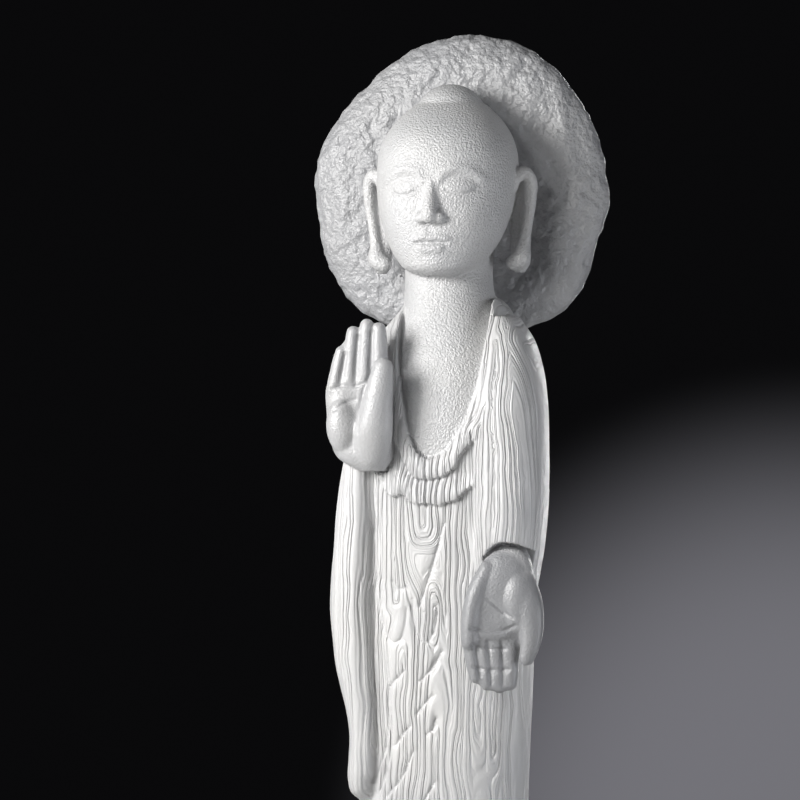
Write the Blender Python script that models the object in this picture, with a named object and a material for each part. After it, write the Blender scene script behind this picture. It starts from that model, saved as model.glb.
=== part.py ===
"""Standing crystal Buddha in front of a round halo, cast in one with a low base.

Metres, +Z up. The figure faces -Y. The origin is the middle of the base's underside.
The free form is laid out in parts, as an iconometric canon does: one part is the
figure's height from soles to crown divided by FIGURE_PARTS, which is 1 mm here.
Heights in the tables count up from the soles and depths from the figure's own axis.
"""

import math

import bmesh
import bpy
import numpy as np
from mathutils import Matrix
from mathutils.bvhtree import BVHTree

# Driving sizes, in metres
FIGURE_HEIGHT = 0.427
BASE_WIDTH = 0.112
BASE_DEPTH = 0.090
BASE_HEIGHT = 0.018
HALO_DIAMETER = 0.125
HALO_THICKNESS = 0.012

# The canon of the free form
FIGURE_PARTS = 427
PART = FIGURE_HEIGHT / FIGURE_PARTS
AXIS_SETBACK = 3.0  # parts from the base's middle back to the figure's axis
HALO_FACE = 20.0  # parts from the axis back to the halo's front face
HALO_CENTRE = 387.0  # parts above the soles

# How finely the solid is made
VOXEL = 0.0009
TRIANGLES = 9500
GLASS_COLOUR = (0.86, 0.87, 0.88, 1.0)


def through(stations, at):
    """Smooth curves through the stations, rows of (place, value, value ...), read at the places at."""
    table = np.array(stations, float)
    place, values = table[:, 0], table[:, 1:]
    slopes = np.gradient(values, place, axis=0)
    index = np.clip(np.searchsorted(place, at) - 1, 0, len(place) - 2)
    span = (place[index + 1] - place[index])[:, None]
    t = ((np.asarray(at) - place[index]) / span[:, 0])[:, None]
    return (
        (2 * t**3 - 3 * t**2 + 1) * values[index]
        + (t**3 - 2 * t**2 + t) * span * slopes[index]
        + (3 * t**2 - 2 * t**3) * values[index + 1]
        + (t**3 - t**2) * span * slopes[index + 1]
    )


def rise(value, low, high):
    """0 below low, 1 above high and a smooth step between them."""
    t = np.clip((value - low) / (high - low), 0, 1)
    return t * t * (3 - 2 * t)


def shell(rings):
    """Closed surface over rings of points, an array (rings, points, 3), with a pole at each end."""
    rings = np.asarray(rings, float)
    rows, count = rings.shape[:2]
    points = np.vstack([rings.reshape(-1, 3), rings[0].mean(0), rings[-1].mean(0)])
    faces = []
    for row in range(rows - 1):
        for i in range(count):
            j = (i + 1) % count
            low, high = row * count, (row + 1) * count
            faces.append((low + i, low + j, high + j, high + i))
    first, last, top = rows * count, rows * count + 1, (rows - 1) * count
    for i in range(count):
        j = (i + 1) % count
        faces.append((first, j, i))
        faces.append((last, top + i, top + j))
    return points, faces


def oval(left, right, front, back, squareness, count=64):
    """Points (x, y) round a rounded box, counter-clockwise from its right."""
    angle = np.linspace(0, 2 * math.pi, count, endpoint=False)
    cosine, sine = np.cos(angle), np.sin(angle)
    power = 2 / squareness
    x = (left + right) / 2 + (right - left) / 2 * np.sign(cosine) * np.abs(cosine) ** power
    y = (front + back) / 2 + (back - front) / 2 * np.sign(sine) * np.abs(sine) ** power
    return x, y


def upright(stations, squareness=2.4, steps=48):
    """Solid through stations of (height, left, right, front, back), its sections level rounded boxes."""
    heights = np.linspace(stations[0][0], stations[-1][0], steps)
    rings = []
    for height, (left, right, front, back) in zip(heights, through(stations, heights)):
        x, y = oval(left, right, front, back, squareness)
        rings.append(np.column_stack([x, y, np.full(len(x), height)]))
    return shell(rings)


def limb(stations, flat=1.0, steps=20, count=24):
    """Tube through stations of (x, y, z, radius), rounded at both ends and flat times as deep."""
    knots = np.array(stations, float)
    length = np.concatenate([[0], np.cumsum(np.linalg.norm(np.diff(knots[:, :3], axis=0), axis=1))])
    places = np.linspace(0, length[-1], steps)
    centres = through(np.column_stack([length, knots]), places)
    ahead = np.gradient(centres[:, :3], axis=0)
    ahead /= np.linalg.norm(ahead, axis=1)[:, None]
    sections = [(centres[i], ahead[i], 0.0, 1.0) for i in range(steps)]
    for turn in np.linspace(0.35, 1.45, 5):
        share = math.cos(turn)
        sections.insert(0, (centres[0], ahead[0], -math.sin(turn), share))
        sections.append((centres[-1], ahead[-1], math.sin(turn), share))
    rings = []
    for (x, y, z, radius), direction, reach, share in sections:
        side = np.cross([0.0, 1.0, 0.0], direction)
        side /= np.linalg.norm(side)
        depth = np.cross(direction, side)
        turns = np.linspace(0, 2 * math.pi, count, endpoint=False)[:, None]
        middle = np.array([x, y, z]) + direction * reach * radius
        rings.append(
            middle + radius * share * (np.cos(turns) * side + flat * np.sin(turns) * depth)
        )
    return shell(rings)


def ball(centre, radii, rings=18, count=28):
    """Ellipsoid."""
    tilts = np.linspace(-math.pi / 2, math.pi / 2, rings + 2)[1:-1]
    turns = np.linspace(0, 2 * math.pi, count, endpoint=False)
    made = [
        np.column_stack(
            [
                centre[0] + radii[0] * math.cos(tilt) * np.cos(turns),
                centre[1] + radii[1] * math.cos(tilt) * np.sin(turns),
                np.full(count, centre[2] + radii[2] * math.sin(tilt)),
            ]
        )
        for tilt in tilts
    ]
    return shell(made)


def prism(outline, front, back):
    """Block with the outline, points (x, z), between the depths front and back."""
    count = len(outline)
    points = [(x, depth, z) for depth in (front, back) for x, z in outline]
    faces = [tuple(range(count)), tuple(range(2 * count - 1, count - 1, -1))]
    for i in range(count):
        j = (i + 1) % count
        faces.append((i, count + i, count + j, j))
    return np.array(points, float), faces


def placed(solid, at, yaw, flip=False):
    """The solid turned upside down if flip is set, then turned about Z by yaw degrees and moved."""
    points, faces = solid
    points = points * ((1, 1, -1) if flip else (1, 1, 1))
    turn = np.array(Matrix.Rotation(math.radians(yaw), 3, "Z"))
    return points @ turn.T + np.array(at), faces


# The figure's masses. Rows are (height, left, right, front, back), in parts.


def robe():
    """Torso and skirt under the sleeves."""
    return upright(
        [
            (-4, -27.0, 26.0, -18.0, 17.0),
            (6.0, -28.5, 27.5, -19.5, 18.5),
            (7.6, -33.6, 32.6, -25.2, 22.4),
            (9.6, -35.2, 34.2, -26.9, 23.8),
            (16, -34.8, 33.8, -26.6, 23.6),
            (30, -34.2, 33.4, -26.2, 23.3),
            (60, -33.5, 33.0, -26.0, 23.0),
            (105, -33.5, 33.0, -26.5, 23.0),
            (145, -34.5, 33.5, -27.0, 23.5),
            (190, -36.0, 35.4, -27.5, 24.0),
            (242, -36.5, 37.0, -28.0, 24.5),
            (282, -37.0, 38.5, -28.0, 25.0),
            (310, -34.5, 37.0, -26.0, 25.0),
            (322, -30.0, 34.0, -23.2, 24.5),
            (329, -24.6, 30.0, -20.6, 24.0),
            (335, -19.4, 26.0, -17.8, 23.5),
            (340, -15.5, 21.5, -14.8, 23.0),
            (344, -10.0, 13.0, -8.0, 21.0),
        ],
        squareness=2.3,
        steps=120,
    )


def hanging_sleeve():
    """The sleeve that falls from the raised forearm and ends above the knee."""
    return upright(
        [
            (141.0, -33.0, -26.5, -17.0, 10.0),
            (143.5, -35.2, -23.5, -23.0, 13.0),
            (149, -36.6, -21.5, -26.5, 15.0),
            (158, -36.2, -20.5, -27.5, 15.0),
            (167, -35.9, -20.0, -27.5, 15.0),
            (177, -37.3, -20.0, -28.0, 15.0),
            (185, -39.4, -20.0, -28.5, 15.0),
            (194, -41.7, -20.0, -28.5, 15.0),
            (206, -43.2, -20.5, -28.5, 15.0),
            (216, -44.1, -21.0, -28.5, 14.5),
            (228, -43.8, -21.0, -28.3, 14.0),
            (242, -42.6, -21.0, -28.0, 14.0),
            (254, -41.8, -21.0, -27.5, 13.5),
            (266, -40.3, -21.0, -27.0, 13.5),
            (277, -38.4, -21.5, -26.0, 13.0),
            (300, -36.4, -22.0, -22.0, 12.0),
            (316, -32.0, -21.5, -15.0, 11.0),
            (324, -27.0, -20.0, -9.0, 10.0),
        ],
        squareness=2.35,
        steps=80,
    )


def lowered_sleeve():
    """Upper arm and forearm of the lowered arm, down to the cuff."""
    return upright(
        [
            (219, 20.0, 36.5, -24.0, 8.0),
            (225, 18.0, 38.4, -30.0, 8.5),
            (236, 16.0, 40.8, -33.0, 9.5),
            (250, 15.0, 42.6, -33.6, 10.5),
            (266, 14.0, 43.3, -32.8, 12.0),
            (282, 13.0, 43.0, -31.0, 13.0),
            (300, 13.0, 42.2, -28.5, 13.5),
            (313, 14.5, 40.0, -25.0, 13.5),
            (325, 16.0, 35.5, -19.5, 13.0),
            (333, 18.0, 29.5, -14.0, 12.0),
        ],
        squareness=2.4,
        steps=60,
    )


def cuff_opening():
    """What the cuff leaves open above the wrist: an arch that runs out over the sleeve's outer side."""
    turns = np.linspace(0, 2 * math.pi, 56, endpoint=False)
    reach = np.where(np.cos(turns) > 0, 16.0, 11.8)
    climb = 19.8 * np.maximum(np.sin(turns), -0.12)
    outline = np.column_stack([31.3 + reach * np.cos(turns), 225.0 + climb])
    return prism(outline, -48.0, -19.5)


NECKLINE = [
    (-12.0, 350),
    (-14.0, 342),
    (-15.2, 333),
    (-14.6, 323),
    (-13.2, 311),
    (-11.0, 298),
    (-8.0, 286),
    (-4.4, 279),
    (0.2, 276.8),
    (5.4, 279),
    (10.2, 284.4),
    (14.6, 292.4),
    (17.8, 302),
    (19.9, 314),
    (21.0, 325),
    (21.2, 333),
    (20.0, 341),
    (18.0, 350),
]


def neckline(steps=80):
    """The U of the neckline as points (x, z), from the wearer's right shoulder round to the left."""
    knots = np.array(NECKLINE, float)
    length = np.concatenate([[0], np.cumsum(np.hypot(*np.diff(knots, axis=0).T))])
    return through(np.column_stack([length, knots]), np.linspace(0, length[-1], steps))


def neck_opening():
    """What the robe leaves bare: everything in front of the chest inside the neckline."""
    return prism(neckline(), -60.0, 10.0)


def chest():
    """Bare chest, throat and neck."""
    return upright(
        [
            (262, -20.0, 24.0, -19.0, 10.0),
            (270, -22.0, 27.0, -24.6, 10.0),
            (280, -22.5, 28.0, -26.2, 10.0),
            (292, -22.5, 28.5, -26.0, 11.0),
            (304, -22.0, 28.0, -24.8, 13.0),
            (318, -21.0, 26.0, -22.0, 17.0),
            (332, -18.4, 21.6, -18.2, 22.5),
            (338, -17.6, 19.4, -16.4, 23.5),
            (345, -17.3, 17.8, -14.8, 23.5),
            (362, -17.4, 17.6, -13.0, 23.5),
            (378, -16.4, 16.4, -8.0, 24.0),
        ],
        squareness=2.2,
        steps=60,
    )


def head():
    """Smooth skull and jaw, plain: the features are added to it."""
    return upright(
        [
            (349.2, -7.0, 7.0, -19.0, -6.0),
            (351, -12.0, 12.0, -21.6, 0.0),
            (356, -17.8, 17.8, -23.4, 8.0),
            (363, -22.2, 22.2, -24.4, 16.0),
            (372, -25.6, 25.6, -25.0, 22.0),
            (382, -27.6, 27.6, -25.2, 27.0),
            (392, -28.2, 28.2, -24.8, 30.0),
            (399, -27.6, 27.6, -23.4, 31.0),
            (405.5, -25.4, 25.4, -20.2, 30.0),
            (411, -22.0, 22.0, -15.2, 27.5),
            (416, -17.4, 17.4, -9.0, 24.0),
            (419.5, -12.4, 12.4, -3.0, 20.0),
            (421.5, -6.0, 6.0, 2.0, 14.0),
        ],
        squareness=2.15,
        steps=70,
    )


def crown():
    """The cranial bump, set a little back on the skull."""
    return ball((0, 8, 412.8), (14.8, 14.4, 14.2))


def nose():
    """Straight nose with rounded wings, one third of the face long."""
    bridge = limb([(0, -22.4, 389, 2.3), (0, -25.0, 380, 2.6), (0, -27.2, 373.0, 3.2)], steps=12)
    wings = [ball((side * 3.6, -25.0, 371.6), (2.6, 3.2, 2.5)) for side in (-1, 1)]
    return [bridge, *wings, ball((0, -27.2, 372.0), (3.1, 3.2, 2.8))]


def ear(side):
    """Long ear: a rolled rim over a flat leaf, swelling into the lobe."""
    leaf = upright(
        [
            (351.0, 26.5, 30.5, 5.5, 9.5),
            (354.5, 25.2, 32.6, 4.4, 11.0),
            (360, 24.5, 32.6, 5.4, 12.0),
            (368, 24.0, 32.6, 6.8, 13.0),
            (378, 24.0, 33.8, 7.0, 13.5),
            (386, 24.0, 35.2, 6.6, 13.5),
            (390.6, 25.0, 34.0, 6.2, 12.5),
        ],
        squareness=2.2,
        steps=24,
    )
    rim = limb(
        [
            (26.4, 2.0, 384.0, 2.2),
            (28.2, 2.6, 389.0, 2.7),
            (31.2, 3.8, 390.6, 2.8),
            (33.2, 5.2, 388.0, 2.7),
            (33.6, 5.8, 382.0, 2.3),
            (32.2, 6.2, 371.0, 2.0),
            (30.6, 5.4, 362.0, 2.5),
            (29.4, 4.6, 356.2, 3.9),
            (26.8, 4.0, 354.8, 3.3),
        ],
        steps=48,
        count=16,
    )
    made = []
    for points, faces in (leaf, rim):
        made.append((points * (side, 1, 1), faces))
    return made


def finger(base, tip, radius, curl=0.0):
    """Tapered finger from base to tip, both (x, z), its end bent curl parts towards the palm's face."""
    (x, z), (end_x, end_z) = base, tip
    rows = []
    for share, width, bend in ((0.0, 1.0, 0.0), (0.35, 0.97, 0.15), (0.7, 0.95, 0.5), (1.0, 0.8, 1.0)):
        rows.append(
            (x + (end_x - x) * share, -curl * bend, z + (end_z - z) * share, radius * width)
        )
    return limb(rows, flat=1.05, steps=18, count=18)


def finger_web(stations):
    """Leaf that joins the fingers, so that they lie close together."""
    return upright(stations, squareness=2.8, steps=18)


def raised_hand():
    """Palm forward and fingers up, in its own frame: palm facing -Y, thumb at +X."""
    palm = upright(
        [
            (-23.0, -1.0, 9.5, -3.0, 6.0),
            (-19.5, -7.5, 11.5, -5.0, 8.0),
            (-12.0, -12.4, 12.5, -5.2, 10.0),
            (0.0, -14.0, 12.2, -4.6, 9.5),
            (10.0, -13.9, 11.6, -3.8, 6.0),
            (14.0, -12.6, 10.5, -3.0, 4.4),
        ],
        squareness=2.5,
        steps=30,
    )
    return [
        palm,
        ball((-6.8, -2.4, -5.0), (6.6, 5.2, 11.0)),
        finger_web(
            [
                (4.0, -14.2, 11.4, -3.4, 5.4),
                (14.0, -13.0, 10.9, -3.0, 4.6),
                (22.0, -10.2, 10.3, -2.9, 4.2),
                (28.0, -6.6, 9.6, -2.6, 3.6),
                (32.0, -2.6, 8.2, -2.2, 3.0),
            ]
        ),
        finger((-10.6, 9.0), (-7.6, 23.6), 3.2, curl=0.6),
        finger((-4.4, 10.0), (-3.0, 31.2), 3.45, curl=0.4),
        finger((1.6, 10.0), (2.4, 34.0), 3.5, curl=0.2),
        finger((7.4, 10.0), (7.2, 32.6), 3.5, curl=0.0),
        limb(
            [
                (4.4, -2.0, -15.5, 7.2),
                (5.8, -4.8, -7.0, 7.6),
                (7.6, -6.6, 4.0, 6.1),
                (9.0, -6.8, 12.0, 5.0),
                (9.7, -6.4, 17.2, 4.2),
            ],
            flat=0.8,
            steps=30,
        ),
    ]


def lowered_hand():
    """Palm forward and fingers down, in its own frame before it is flipped: fingers at +Z, thumb at +X."""
    palm = upright(
        [
            (-27.4, -1.6, 4.0, 1.6, 13.0),
            (-26.2, -4.8, 7.0, -0.4, 13.5),
            (-24.0, -7.4, 9.4, -2.2, 13.5),
            (-20.5, -9.2, 10.8, -3.6, 13.0),
            (-11.0, -12.4, 12.8, -5.2, 12.5),
            (-3.0, -14.6, 13.4, -5.4, 10.0),
            (5.0, -15.2, 11.0, -4.4, 7.5),
            (13.0, -14.6, 6.8, -2.8, 5.0),
        ],
        squareness=2.6,
        steps=32,
    )
    return [
        palm,
        limb(
            [
                (-6.6, -0.2, -19.0, 3.4),
                (-10.6, -1.4, -10.0, 4.0),
                (-12.8, -1.8, 0.0, 3.9),
                (-13.4, -2.2, 9.0, 3.5),
            ],
            steps=24,
        ),
        ball((5.6, -2.6, -6.0), (7.4, 4.8, 12.0)),
        ball((-4.0, -2.6, 5.6), (9.0, 2.4, 3.2)),
        finger_web(
            [
                (4.0, -16.0, 9.0, -3.6, 5.4),
                (12.0, -15.8, 6.2, -3.5, 5.0),
                (20.0, -14.0, 5.2, -3.6, 4.6),
                (25.5, -10.6, 4.4, -3.8, 4.0),
                (28.0, -6.0, 2.0, -3.4, 3.2),
            ]
        ),
        finger((-13.4, 8.0), (-11.0, 22.6), 3.4, curl=1.2),
        finger((-8.2, 9.0), (-6.6, 25.4), 3.5, curl=1.1),
        finger((-2.8, 9.0), (-1.9, 26.4), 3.5, curl=1.0),
        finger((2.4, 9.0), (2.2, 25.4), 3.4, curl=0.9),
        limb(
            [
                (7.2, -0.8, -14.0, 5.2),
                (9.0, -2.6, -5.0, 6.0),
                (10.4, -3.8, 4.0, 4.8),
                (9.8, -4.4, 10.6, 3.8),
                (8.6, -4.6, 15.0, 3.1),
            ],
            flat=0.85,
            steps=30,
        ),
    ]


def halo():
    """Uneven disc with rounded edges, its outline drawn in by hand here and there."""
    radius = HALO_DIAMETER / 2 / PART
    thickness = HALO_THICKNESS / PART
    turns = np.linspace(0, 2 * math.pi, 120, endpoint=False)
    outline = radius * halo_outline(turns)
    profile = [
        (0.35, 0.0),
        (0.78, 0.0),
        (0.84, 0.07),
        (0.90, 0.19),
        (0.95, 0.32),
        (0.985, 0.48),
        (1.0, 0.66),
        (0.993, 0.83),
        (0.965, 0.95),
        (0.93, 1.0),
        (0.35, 1.0),
    ]
    rings = []
    for share, depth in profile:
        x = outline * share * np.cos(turns)
        z = HALO_CENTRE + outline * share * np.sin(turns)
        rings.append(np.column_stack([x, np.full(len(x), HALO_FACE + thickness * depth), z]))
    return shell(rings)


HALO_EDGE = [
    (0, 0.972),
    (24, 0.955),
    (45, 0.965),
    (64, 1.003),
    (88, 1.0),
    (110, 0.972),
    (132, 0.948),
    (150, 0.968),
    (168, 1.003),
    (186, 1.0),
    (206, 1.036),
    (226, 1.058),
    (250, 1.035),
    (270, 1.0),
    (292, 1.02),
    (315, 1.05),
    (335, 0.982),
    (360, 0.972),
]


def halo_outline(turns):
    """The halo's uneven edge, as shares of its radius at each turn counter-clockwise from +X."""
    return through(HALO_EDGE, np.degrees(turns) % 360)[:, 0]


def feet():
    """Insteps and toes that show under the hem, the big toes side by side."""
    made = []
    for side in (-1, 1):
        made.append(ball((side * 13.0, -16.0, 0.0), (9.6, 18.0, 10.5)))
        rows = ((-5.4, -34.5, 3.8, 5.0), (0.2, -35.2, 2.8, 4.2), (4.2, -34.0, 2.6, 3.9))
        rows += ((7.6, -32.0, 2.4, 3.6), (10.2, -29.4, 2.2, 3.3))
        for across, ahead, radius, height in rows:
            made.append(ball((side * (13.0 + across), ahead, 0.6), (radius, 7.4, height)))
    return made


def base():
    """Low oval plinth. It starts below the floor, where it is cut off flat."""
    width, depth = BASE_WIDTH / PART, BASE_DEPTH / PART
    height = BASE_HEIGHT / PART
    edge = ((-0.25, 2.0), (0.0, 0.8), (0.2, 0.0), (0.75, 0.3), (0.9, 1.0), (0.97, 2.4), (1.0, 5.0))
    rows = []
    for share, inset in edge:
        rows.append(
            (
                (share - 1) * height,
                inset - width / 2,
                width / 2 - inset,
                inset - depth / 2 - AXIS_SETBACK,
                depth / 2 - inset - AXIS_SETBACK,
            )
        )
    return upright(rows, squareness=2.6, steps=40)


def masses():
    """Every mass of the casting but the robe, in parts, as (points, faces)."""
    made = [chest(), head(), crown(), halo(), base()]
    made += nose() + ear(-1) + ear(1) + feet()
    made += [placed(s, at=(-26.8, -30.5, 295.2), yaw=6.0) for s in raised_hand()]
    made += [placed(s, at=(31.0, -30.0, 215.2), yaw=13.0, flip=True) for s in lowered_hand()]
    return made


def as_object(name, solid):
    points, faces = solid
    mesh = bpy.data.meshes.new(name)
    mesh.from_pydata(to_metres(points).tolist(), [], faces)
    made = bmesh.new()
    made.from_mesh(mesh)
    bmesh.ops.recalc_face_normals(made, faces=made.faces)
    made.to_mesh(mesh)
    made.free()
    obj = bpy.data.objects.new(name, mesh)
    bpy.context.scene.collection.objects.link(obj)
    return obj


def to_metres(points):
    return points * PART + np.array([0.0, AXIS_SETBACK * PART, BASE_HEIGHT])


def to_parts(points):
    return (points - np.array([0.0, AXIS_SETBACK * PART, BASE_HEIGHT])) / PART


def evaluated(obj):
    """The object's mesh with its modifiers applied, in place of the object's own."""
    graph = bpy.context.evaluated_depsgraph_get()
    mesh = bpy.data.meshes.new_from_object(obj.evaluated_get(graph))
    obj.modifiers.clear()
    obj.data = mesh
    return obj


def joined(solids):
    """One (points, faces) that holds all the solids, still as separate shells."""
    points, faces, start = [], [], 0
    for part_points, part_faces in solids:
        points.append(part_points)
        faces += [tuple(start + i for i in face) for face in part_faces]
        start += len(part_points)
    return np.vstack(points), faces


def cut_away(obj, opening):
    """Cuts the opening out of obj."""
    cut = obj.modifiers.new("cut", "BOOLEAN")
    cut.operation = "DIFFERENCE"
    cut.object = opening
    evaluated(obj)


def merged(obj, voxel):
    """The shells of obj as one skin."""
    skin = obj.modifiers.new("skin", "REMESH")
    skin.mode = "VOXEL"
    skin.voxel_size = voxel
    return outer_skin(softened(obj, 4))


def outer_skin(obj):
    """Leaves only the outer skin of obj, so that no void is sealed inside it."""
    made = bmesh.new()
    made.from_mesh(obj.data)
    unseen = set(made.verts)
    shells = []
    while unseen:
        reached = [unseen.pop()]
        shells.append(list(reached))
        while reached:
            vert = reached.pop()
            for edge in vert.link_edges:
                other = edge.other_vert(vert)
                if other in unseen:
                    unseen.remove(other)
                    reached.append(other)
                    shells[-1].append(other)
    shells.sort(key=len)
    for inner in shells[:-1]:
        bmesh.ops.delete(made, geom=inner, context="VERTS")
    made.to_mesh(obj.data)
    made.free()
    return obj


def softened(obj, rounds):
    """The skin with its corners rounded off a little."""
    soften = obj.modifiers.new("soften", "SMOOTH")
    soften.factor = 0.5
    soften.iterations = rounds
    return evaluated(obj)


def mesh_points(mesh):
    points = np.empty(len(mesh.vertices) * 3, np.float32)
    mesh.vertices.foreach_get("co", points)
    return points.reshape(-1, 3).astype(float)


def mesh_normals(mesh):
    normals = np.empty(len(mesh.vertices) * 3, np.float32)
    mesh.vertex_normals.foreach_get("vector", normals)
    return normals.reshape(-1, 3).astype(float)


# Carving, as depths in parts. x, y and z are arrays in parts.


def path_distance(x, z, path):
    """Distance of each point (x, z) from the path, a row of points."""
    nearest = np.full(len(x), np.inf)
    for (x0, z0), (x1, z1) in zip(path[:-1], path[1:]):
        dx, dz = x1 - x0, z1 - z0
        share = np.clip(((x - x0) * dx + (z - z0) * dz) / (dx * dx + dz * dz), 0, 1)
        nearest = np.minimum(nearest, np.hypot(x - x0 - share * dx, z - z0 - share * dz))
    return nearest


def neckline_sides(z):
    """The neckline's left and right edge at the heights z."""
    outline = neckline(60)
    left = np.interp(z, outline[30::-1, 1], outline[30::-1, 0])
    return left, np.interp(z, outline[30:, 1], outline[30:, 0])


COLLAR = [(0, 0.0), (1.0, 0.5), (2.6, 1.6), (4.6, 2.0), (7.2, 1.6), (8.6, 0.7), (10.2, 1.1), (14.0, 1.5)]
COLLAR += [(18.2, 1.1), (20.0, 0.0)]


def collar(x, z):
    """Two soft bands of cloth hung from the neckline, and its raised lip up both sides of the neck."""
    left, right = neckline_sides(z)
    away = path_distance(x, z, neckline(60))
    away = np.where((x > left) & (x < right) & (z > 277), 0, away)
    ends = 292 - 18 * rise(x, 0, 12)
    bands = np.interp(away, *np.array(COLLAR).T) * (1 - rise(z, ends, ends + 20))
    lip = 0.8 * np.exp(-(((away - 1.2) / 1.2) ** 2)) * (1 - rise(z, 325, 336))
    return np.maximum(bands, lip)


FOLDS = [
    ((6.1, 251.8), (-3.8, 219.3), 3.0, 1.0),
    ((5.3, 201.9), (-3.6, 189.9), 2.6, 1.0),
    ((1.5, 184.4), (-5.0, 177.0), 2.4, 0.9),
    ((-8.0, 171.9), (-14.4, 164.0), 2.4, 0.9),
    ((2.8, 175.0), (-1.0, 168.8), 2.4, 0.7),
    ((-10.6, 193.4), (-17.1, 186.8), 2.4, 0.7),
    ((-6.7, 161.7), (-17.5, 144.3), 3.0, 1.2),
    ((2.0, 150.0), (-12.0, 126.0), 3.0, 1.0),
    ((8.0, 136.0), (-6.0, 108.0), 3.2, 1.0),
]


def drapery(x, z):
    """Depth of the slanting folds pressed into the front of the robe."""
    depth = np.zeros(len(x))
    for start, end, width, deep in FOLDS:
        depth = np.maximum(depth, deep * np.exp(-((path_distance(x, z, [start, end]) / width) ** 2)))
    return depth


def face_relief(x, z):
    """How far the calm, lowered face stands off the plain skull. It is the same on both sides."""
    x = np.abs(x)
    relief = -1.9 * np.exp(-(((x - 10.6) / 7.4) ** 2) - ((z - 384.6) / 4.6) ** 2)
    relief += 0.9 * np.exp(-((path_distance(x, z, BROW) / 1.7) ** 2))
    lid = 1 - ((x - 11.4) / 6.6) ** 2 - ((z - 383.8) / 4.1) ** 2
    relief += 2.0 * np.sqrt(np.clip(lid, 0, 1))
    relief -= 0.7 * np.exp(-((path_distance(x, z, LASHES) / 0.9) ** 2))
    relief += 0.9 * np.exp(-((x / 10.0) ** 2) - ((z - 361.5) / 7.0) ** 2)
    relief += 0.8 * np.exp(-((path_distance(x, z, UPPER_LIP) / 1.2) ** 2))
    relief += 1.0 * np.exp(-((path_distance(x, z, LOWER_LIP) / 1.5) ** 2))
    relief -= 1.1 * np.exp(-((path_distance(x, z, MOUTH) / 0.9) ** 2)) * (1 - rise(x, 5, 9))
    relief += 1.0 * np.exp(-((x / 6.0) ** 2) - ((z - 353.6) / 3.6) ** 2)
    relief += 0.7 * np.exp(-(((x - 14.5) / 7.5) ** 2) - ((z - 371) / 7.0) ** 2)
    return relief


BROW = [(3.6, 386.5), (5.4, 389.2), (9.5, 391.0), (14.5, 390.4), (19.5, 387.0)]
LASHES = [(5.6, 383.4), (8.4, 381.6), (11.6, 381.0), (14.8, 381.7), (17.4, 383.6)]
UPPER_LIP = [(0, 363.7), (2.2, 364.2), (6.8, 362.8)]
LOWER_LIP = [(0, 359.4), (3.0, 359.6), (5.2, 360.6)]
MOUTH = [(0, 361.7), (2.4, 361.9), (5.4, 361.8), (8.2, 362.7)]


# Middle (x, z), half width, half height and depth of the hollow in each palm
PALM_HOLLOWS = [(-28.5, 299, 5.0, 8.0, 1.3), (27.0, 217, 5.5, 7.0, 1.4)]


def palm_hollows(x, z):
    """How deep the palms are hollowed, where the two hands face forward."""
    hollow = np.zeros(len(x))
    for across, height, wide, tall, deep in PALM_HOLLOWS:
        hollow += deep * np.exp(-(((x - across) / wide) ** 2) - ((z - height) / tall) ** 2)
    return hollow


def carve(points, normals, cloth):
    """Moves the skin's points to raise the collar and the face and to press in the folds and palms.
    cloth is 1 on the robe and 0 on bare skin, halo and base."""
    x, y, z = points.T
    forward = rise(-normals[:, 1], 0.2, 0.6) * (y < 0)
    lift = forward * cloth * (collar(x, z) - drapery(x, z) * (1 - rise(z, 252, 258)))
    lift += forward * (z > 349) * (np.abs(x) < 27) * face_relief(x, z)
    lift -= forward * (1 - cloth) * (y < -30) * (z > 180) * (z < 330) * palm_hollows(x, z)
    return points + normals * lift[:, None]


def cloth_share(points, cloth_solids):
    """1 where a point lies on one of the robe's masses, 0 where it lies off them all."""
    trees = [BVHTree.FromPolygons(p.tolist(), f) for p, f in cloth_solids]
    away = [min(tree.find_nearest(p)[3] for tree in trees) for p in points.tolist()]
    return 1 - rise(np.array(away), 0.5, 1.1)


def finished(obj, triangles):
    """Fewer, well placed faces, and the base cut off flat on the floor."""
    ratio = triangles / sum(len(p.vertices) - 2 for p in obj.data.polygons)
    fewer = obj.modifiers.new("fewer", "DECIMATE")
    fewer.ratio = min(1.0, ratio)
    fewer.use_collapse_triangulate = True
    evaluated(obj)
    cut = bmesh.new()
    cut.from_mesh(obj.data)
    made = bmesh.ops.bisect_plane(
        cut,
        geom=cut.verts[:] + cut.edges[:] + cut.faces[:],
        plane_co=(0, 0, 0),
        plane_no=(0, 0, -1),
        clear_outer=True,
    )
    rim = [e for e in made["geom_cut"] if isinstance(e, bmesh.types.BMEdge)]
    bmesh.ops.contextual_create(cut, geom=rim)
    bmesh.ops.triangulate(cut, faces=[f for f in cut.faces if len(f.verts) > 3])
    bmesh.ops.recalc_face_normals(cut, faces=cut.faces)
    cut.to_mesh(obj.data)
    cut.free()
    return obj


def crystal():
    material = bpy.data.materials.new("frosted_crystal")
    material.use_nodes = True
    shader = material.node_tree.nodes["Principled BSDF"]
    shader.inputs["Base Color"].default_value = GLASS_COLOUR
    shader.inputs["Roughness"].default_value = 0.5
    shader.inputs["Metallic"].default_value = 0.0
    shader.inputs["IOR"].default_value = 1.54
    shader.inputs["Transmission Weight"].default_value = 0.4
    return material


def mesh_solid(obj):
    """The object's surface in parts, as (points, faces)."""
    faces = [tuple(p.vertices) for p in obj.data.polygons]
    return to_parts(mesh_points(obj.data)), faces


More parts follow.
